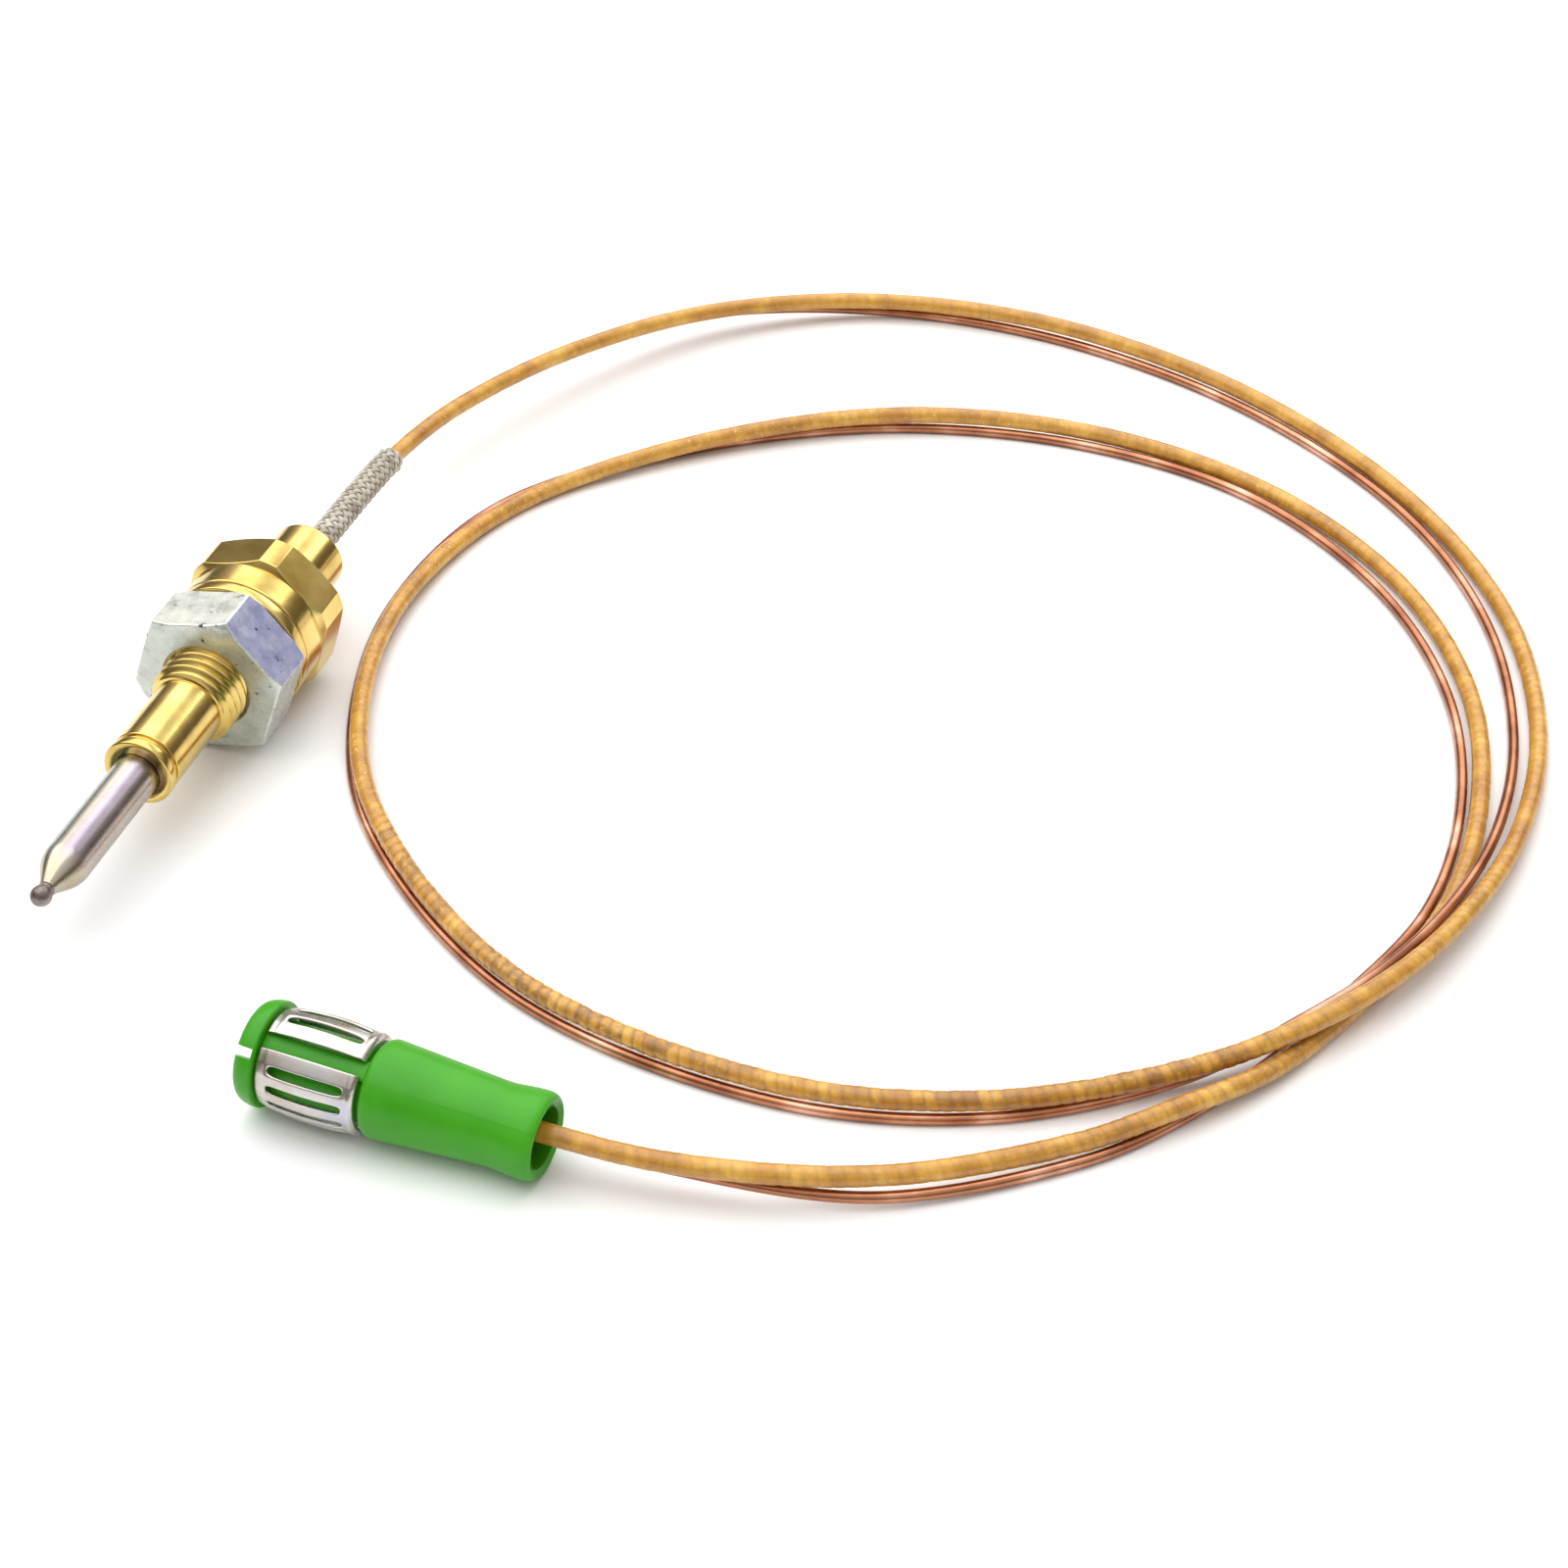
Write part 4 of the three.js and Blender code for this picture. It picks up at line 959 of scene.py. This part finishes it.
def build_braid(line):
    """A braided sleeve: flat yarns wound both ways, each passing over and under the others."""
    yarns, yarn_sides, tube_sides = 8, 16, 24
    pitch, base, lift = 8.8 * MM, 1.13 * MM, 0.12 * MM
    half_width, half_thickness = 0.3 * MM, 0.12 * MM
    backing_radius, backing_bore, backing_step = 1.02 * MM, 0.93 * MM, 6
    flare_length, flare_height = 1.2 * MM, 0.09
    yarn_gap, backing_gap = 0.35 * MM, 0.5 * MM         # short of the lead-side end of the line
    frames = [section_axes(line, index) for index in range(len(line))]
    travelled = [0.0]
    for start, end in zip(line, line[1:]):
        travelled.append(travelled[-1] + (end - start).length)
    last = len(line) - 1
    vertices, faces, strands = [], [], []

    def add_rings(rings, values, closed=False):
        more_vertices, more_faces = sweep_rings(rings, closed)
        offset = len(vertices)
        vertices.extend(more_vertices)
        faces.extend(tuple(corner + offset for corner in face) for face in more_faces)
        strands.extend(values)

    def add_yarn(yarn, direction):
        """One yarn, its section notched lengthwise so that its strands show."""
        fray = noise.noise(Vector((yarn * 3.7, direction * 5.1, 0.4))) * 0.5 * MM
        centres = []
        for index, (side, up) in enumerate(frames):
            turns = travelled[index] / pitch
            angle = 2 * math.pi * (yarn / yarns + direction * turns)
            weave = direction * math.cos(2 * math.pi * yarns * turns)
            near_end = max(0, 1 - (travelled[-1] - travelled[index]) / flare_length)
            reach = (base + lift * weave) * (1 + flare_height * near_end ** 2)
            centres.append(around(line[index], side, up, reach, angle))
        rings, values = [], []
        for index in range(last_before_end(travelled, yarn_gap + fray) + 1):
            centre = centres[index]
            tangent = (centres[min(index + 1, last)] - centres[max(index - 1, 0)]).normalized()
            across = tangent.cross((centre - line[index]).normalized()).normalized()
            out = across.cross(tangent)
            ring = []
            for i in range(yarn_sides):
                turn, notch = 2 * math.pi * i / yarn_sides, i % 2
                width = half_width * (1 - 0.04 * notch) * math.cos(turn)
                height = half_thickness * (1 - 0.2 * notch) * math.sin(turn)
                ring.append(centre + across * width + out * height)
                # painted shade towards the yarn's edges and along its notches
                values.append(min(1, 0.45 * notch + abs(math.cos(turn)) ** 4))
            rings.append(ring)
        add_rings(rings, values)

    for direction in (1, -1):
        for yarn in range(yarns):
            add_yarn(yarn, direction)
    end = last_before_end(travelled, backing_gap)
    outside = [(backing_radius, index) for index in range(0, end, backing_step)]
    inside = [(backing_bore, index) for index in range(end - 1, -1, -backing_step)]
    tube = [round_ring(line[i], *frames[i], radius, tube_sides) for radius, i in outside + inside]
    # the backing inside the yarns is painted fully in shade
    add_rings(tube, [1.0] * (len(tube) * tube_sides), closed=True)
    piece = add_piece("braid_sleeve_yarns", vertices, faces, "braid", "braid_sleeve")
    set_point_values(piece, "strand_shade", strands)
    return piece


# ---------- plug ----------

def plug_point(radius, angle, y):
    """A point about the plug's axis: degrees from its +X towards +Z, y from its front face."""
    turn = math.radians(angle)
    across, rise = radius * math.cos(turn), radius * math.sin(turn)
    cos, sin = math.cos(PLUG_TILT), math.sin(PLUG_TILT)
    along, rise = y * cos - rise * sin, y * sin + rise * cos
    cos, sin = math.cos(PLUG_HEADING), math.sin(PLUG_HEADING)
    place = Vector((across * cos - along * sin, across * sin + along * cos, rise))
    return (PLUG_FRONT + place) * MM


# Radii from the plug's axis, and places along it from its front face, in millimetres.
PLUG_LENGTH = 25
FLANGE_RADIUS = 4.35
FLANGE_WIDTH = 1.75
SLIT_ANGLE = 41             # degrees, as for RIB_ANGLE
SLIT_WIDTH = 0.8
SLIT_DEPTH = 1.55
CAGE_START = 1.77           # the contact panels stand round the core from here
CAGE_END = 10.58            # to here
CORE_RADIUS = 3.0
RIB_RADIUS = 3.45
RIB_WIDTH = 1.7
BODY_RADIUS = 4.0
WAIST_RADIUS = 3.36
WAIST_Y = 21.2
REAR_RADIUS = 3.6
THROAT_RADIUS = 2.4


def quarter_round(radius, y, across, along, steps=8):
    """Points from (radius, y) curving out to (radius + across, y + along)."""
    points = []
    for i in range(steps + 1):
        turn = math.pi / 2 * i / steps
        points.append((radius + across * math.sin(turn), y + along * (1 - math.cos(turn))))
    return points


def plug_outline():
    """The plug's outside from front to back, and its bore from back to front."""
    dome, dome_length = 0.7, 1.5
    shoulder_round, shoulder_length = 0.65, 0.8
    rim_length, rim_round, rim_steps = 0.9, 0.5, 8
    bore, core_bore, mouth = 2.5, 2.1, 3.2
    outer = quarter_round(FLANGE_RADIUS - dome, 0, dome, dome_length)
    outer += [(FLANGE_RADIUS, 1.54), (FLANGE_RADIUS - 0.03, 1.66), (FLANGE_RADIUS - 0.1, 1.73),
              (FLANGE_RADIUS - 0.2, FLANGE_WIDTH)]
    outer += [(CORE_RADIUS + 0.05, FLANGE_WIDTH), (CORE_RADIUS, FLANGE_WIDTH + 0.05)]
    outer += [(CORE_RADIUS, y) for y in (4, 7, CAGE_END)]
    outer += quarter_round(
        BODY_RADIUS - shoulder_round, CAGE_END + 0.02, shoulder_round, shoulder_length)
    body_start = outer[-1][1]
    rim_start = PLUG_LENGTH - rim_length
    flare_start = WAIST_Y - 0.6
    steps = 30
    for i in range(1, steps + 1):
        y = body_start + (rim_start - body_start) * i / steps
        narrowed = min(1, (y - body_start) / (WAIST_Y - body_start))
        taper = BODY_RADIUS - (BODY_RADIUS - WAIST_RADIUS) * narrowed
        flare = max(0, (y - flare_start) / (rim_start - flare_start))
        outer.append((taper + (REAR_RADIUS - WAIST_RADIUS) * smooth_step(flare), y))
    for i in range(1, rim_steps + 1):
        turn = math.pi / 2 * i / rim_steps
        radius = REAR_RADIUS - rim_round * (1 - math.cos(turn))
        outer.append((radius, rim_start + rim_length * math.sin(turn)))
    inner = round_corners([
        (bore, PLUG_LENGTH, 0.35), (bore, PLUG_LENGTH - 1, 0), (bore, 13.2, 0.1),
        (core_bore, 12.8, 0.1), (core_bore, 2.45, 0.05), (THROAT_RADIUS, 2.4, 0.05),
        (THROAT_RADIUS, 1.45, 0.05), (mouth, 1.4, 0.1), (mouth, 0, 0.12),
    ], steps=3)
    return outer, inner


def build_plug_body():
    """One green moulding: domed flange with two slits, ribbed core, tapered rear with a bore.

    Each ring has its own corners for the slits and the ribs, so that their edges run straight.
    """
    plain_steps = 40
    edge = 0.35         # degrees between the side of a slit or rib and the plain surface
    outer, inner = plug_outline()
    rings = []
    for index, (radius, y) in enumerate(outer + inner):
        in_cage = CAGE_START < y <= CAGE_END and radius < CORE_RADIUS + 0.1 and index < len(outer)
        in_slit = y < SLIT_DEPTH and radius >= THROAT_RADIUS - 0.01
        rib_half = math.degrees(math.asin(RIB_WIDTH / 2 / RIB_RADIUS))
        slit_half = math.degrees(math.asin(SLIT_WIDTH / 2 / radius))
        ring = []
        for half_turn in (0, 180):
            slit, rib = SLIT_ANGLE + half_turn, RIB_ANGLE + half_turn
            for share in (-1, -0.5, 0, 0.5, 1):
                ring.append(
                    plug_point(radius, slit + slit_half * share, SLIT_DEPTH if in_slit else y))
            ring.append(plug_point(radius, slit + slit_half + edge, y))
            ring.append(plug_point(radius, rib - rib_half - edge, y))
            for share in (-1, -0.8, 0, 0.8, 1):
                rib_radius = RIB_RADIUS - (0.08 if abs(share) == 1 else 0)
                reach = rib_radius if in_cage else radius
                ring.append(plug_point(reach, rib + rib_half * share, y))
            start, end = rib + rib_half + edge, slit + 180 - slit_half - edge
            for i in range(plain_steps + 1):
                ring.append(plug_point(radius, start + (end - start) * i / plain_steps, y))
        rings.append(ring)
    piece = sweep_piece("plug_body_moulded", rings, "green_plastic", "plug_body", closed=True)
    mark_sharp(piece, sharpest=math.radians(38))
    weight_normals(piece)
    return piece


PANEL_RADIUS = 3.98
PANEL_THICKNESS = 0.28
PANEL_BOW = 0.38
PANEL_START = 1.9
PANEL_END = 10.3
PANEL_HALF_ANGLE = 80.5             # degrees, as are the next two
SLOT_SPACING = 23
SLOT_HALF_ANGLE = 5.4
SLOT_COUNT = 6
SLOT_START = 2.95
SLOT_END = 9.45
PANEL_ROWS = [
    # place along the plug, and how far the panel is bent out there besides its bow
    (1.88, -0.08), (2.05, -0.08), (2.45, -0.07), (2.7, 0), (SLOT_START, 0), (4.2, 0), (5.6, 0),
    (6.8, 0), (8.2, 0), (SLOT_END, 0), (9.62, 0), (9.85, 0.1), (10.08, 0.08), (10.25, -0.06),
    (10.38, -0.22),
]


def panel_columns():
    """Angles across a contact panel, and which of the columns between them are slots."""
    half = PANEL_HALF_ANGLE
    angles = [-half, -half + 1.5, -half + 6]
    open_columns = []
    for i in range(SLOT_COUNT):
        centre = SLOT_SPACING * (i - (SLOT_COUNT - 1) / 2)
        low, high = centre - SLOT_HALF_ANGLE, centre + SLOT_HALF_ANGLE
        angles += [low - 2.4, low, high, high + 2.4]
        open_columns.append(len(angles) - 3)
    return angles + [half - 6, half - 1.5, half], open_columns


def build_contact_panel(name, node, angle, body):
    """A bowed spring plate with a row of long slots and a rolled rear lip."""
    angles, open_columns = panel_columns()
    columns, rows = len(angles) - 1, len(PANEL_ROWS) - 1
    middle, reach = (PANEL_END + PANEL_START) / 2, (PANEL_END - PANEL_START) / 2
    numbers = {}
    vertices, faces = [], []

    def solid(i, j):
        if not (0 <= i < columns and 0 <= j < rows):
            return False
        return i not in open_columns or not SLOT_START <= PANEL_ROWS[j][0] < SLOT_END

    def vertex(i, j, outside):
        """The number of a corner of the plate, which is made when it is first needed."""
        key = (i, j, outside)
        if key not in numbers:
            numbers[key] = len(vertices)
            y, bend = PANEL_ROWS[j]
            bow = PANEL_BOW * (1 - ((y - middle) / reach) ** 2)
            radius = PANEL_RADIUS + bow + bend - (0 if outside else PANEL_THICKNESS)
            vertices.append(plug_point(radius, angle + angles[i], y))
        return numbers[key]

    for i in range(columns):
        for j in range(rows):
            if not solid(i, j):
                continue
            corners = [(i, j), (i + 1, j), (i + 1, j + 1), (i, j + 1)]
            faces.append([vertex(*corner, True) for corner in corners])
            faces.append([vertex(*corner, False) for corner in reversed(corners)])
            beside = [(i, j - 1), (i + 1, j), (i, j + 1), (i - 1, j)]
            for first, second, place in zip(corners, corners[1:] + corners[:1], beside):
                if not solid(*place):
                    faces.append([vertex(*second, True), vertex(*first, True),
                                  vertex(*first, False), vertex(*second, False)])
    piece = add_piece(name, vertices, faces, "contact_metal", node, body)
    rounded = piece.modifiers.new("rounded edges", "SUBSURF")
    rounded.levels = rounded.render_levels = 2
    return piece


# ---------- floor and light ----------

def add_area_light(name, location, target, size, power):
    data = bpy.data.lights.new(name, "AREA")
    data.shape = "RECTANGLE"
    data.size, data.size_y = size
    data.energy = power
    light = bpy.data.objects.new(name, data)
    bpy.context.scene.collection.objects.link(light)
    light.location = location
    aim = Vector(target) - Vector(location)
    light.rotation_euler = aim.to_track_quat("-Z", "Y").to_euler()


def build_stage():
    floor = bpy.data.objects.new("floor", bpy.data.meshes.new("floor"))
    half = 4
    corners = [(-half, -half, 0), (half, -half, 0), (half, half, 0), (-half, half, 0)]
    floor.data.from_pydata(corners, [], [(0, 1, 2, 3)])
    bpy.context.scene.collection.objects.link(floor)
    nodes = Nodes("pale_floor")
    nodes.set(Roughness=0.9, Specular_IOR_Level=0.2)
    colour = nodes.ramp(nodes.noise(3, detail=2), (0.3, 0.92), (0.7, 0.94))
    floor.data.materials.append(nodes.finish(colour))


SKY = [
    # the sine of the elevation, and the colour there
    (0.0, (0.08, 0.07, 0.055)),
    (0.3, (0.23, 0.2, 0.16)),
    (0.46, (0.58, 0.55, 0.5)),
    (0.6, 0.85),
    (1.0, 1.05),
]


def build_light():
    """A bright sky that darkens and warms towards the horizon, a soft key light and a rim."""
    world = bpy.data.worlds.new("studio")
    bpy.context.scene.world = world
    world.use_nodes = True
    tree = world.node_tree
    background = tree.nodes["Background"]
    place = tree.nodes.new("ShaderNodeTexCoord")
    split = tree.nodes.new("ShaderNodeSeparateXYZ")
    ramp = tree.nodes.new("ShaderNodeValToRGB")
    tree.links.new(place.outputs["Generated"], split.inputs["Vector"])
    tree.links.new(split.outputs["Z"], ramp.inputs["Fac"])
    tree.links.new(ramp.outputs["Color"], background.inputs["Color"])
    fill_ramp(ramp.color_ramp, SKY)
    add_area_light("key", (-0.2, 0.15, 0.75), (0.03, 0.02, 0), (1.2, 1.2), 7.2)
    add_area_light("rim", (0.15, 0.75, 0.45), (0.05, 0.02, 0), (0.7, 0.25), 1.2)
    bpy.context.scene.view_settings.view_transform = "Standard"


# ---------- making everything ----------

make_camera()
amber_lead = build_amber_lead(route_line(lead_point, 0, LAST_ROW, LEAD_STEP))
wire_line = route_line(wire_point, WIRE_START_ROW, LAST_ROW, WIRE_STEP)
copper_wire = build_copper_wire(wire_line)
braid = build_braid(route_line(lead_point, BRAID_START_ROW, BRAID_END_ROW, BRAID_STEP))

plug_pieces = [
    build_plug_body(),
    build_contact_panel(
        "contact_panel_upper_sprung", "contact_panel_upper", RIB_ANGLE + 90, "upper_contact"),
    build_contact_panel(
        "contact_panel_lower_sprung", "contact_panel_lower", RIB_ANGLE - 90, "lower_contact"),
]
route_line(lead_point, 0, LAST_ROW, 0.001)

build_bead()
build_sheath_tube()
build_brass_front()
build_brass_rear()
build_lock_nut()
build_washer()

for row in frame["record"]["subparts"]:
    node = frame["nodes"][row["node"]]
    for slot in node.material_slots:
        slot.material = MATERIALS[row["material_slot"]]

build_stage()
build_light()
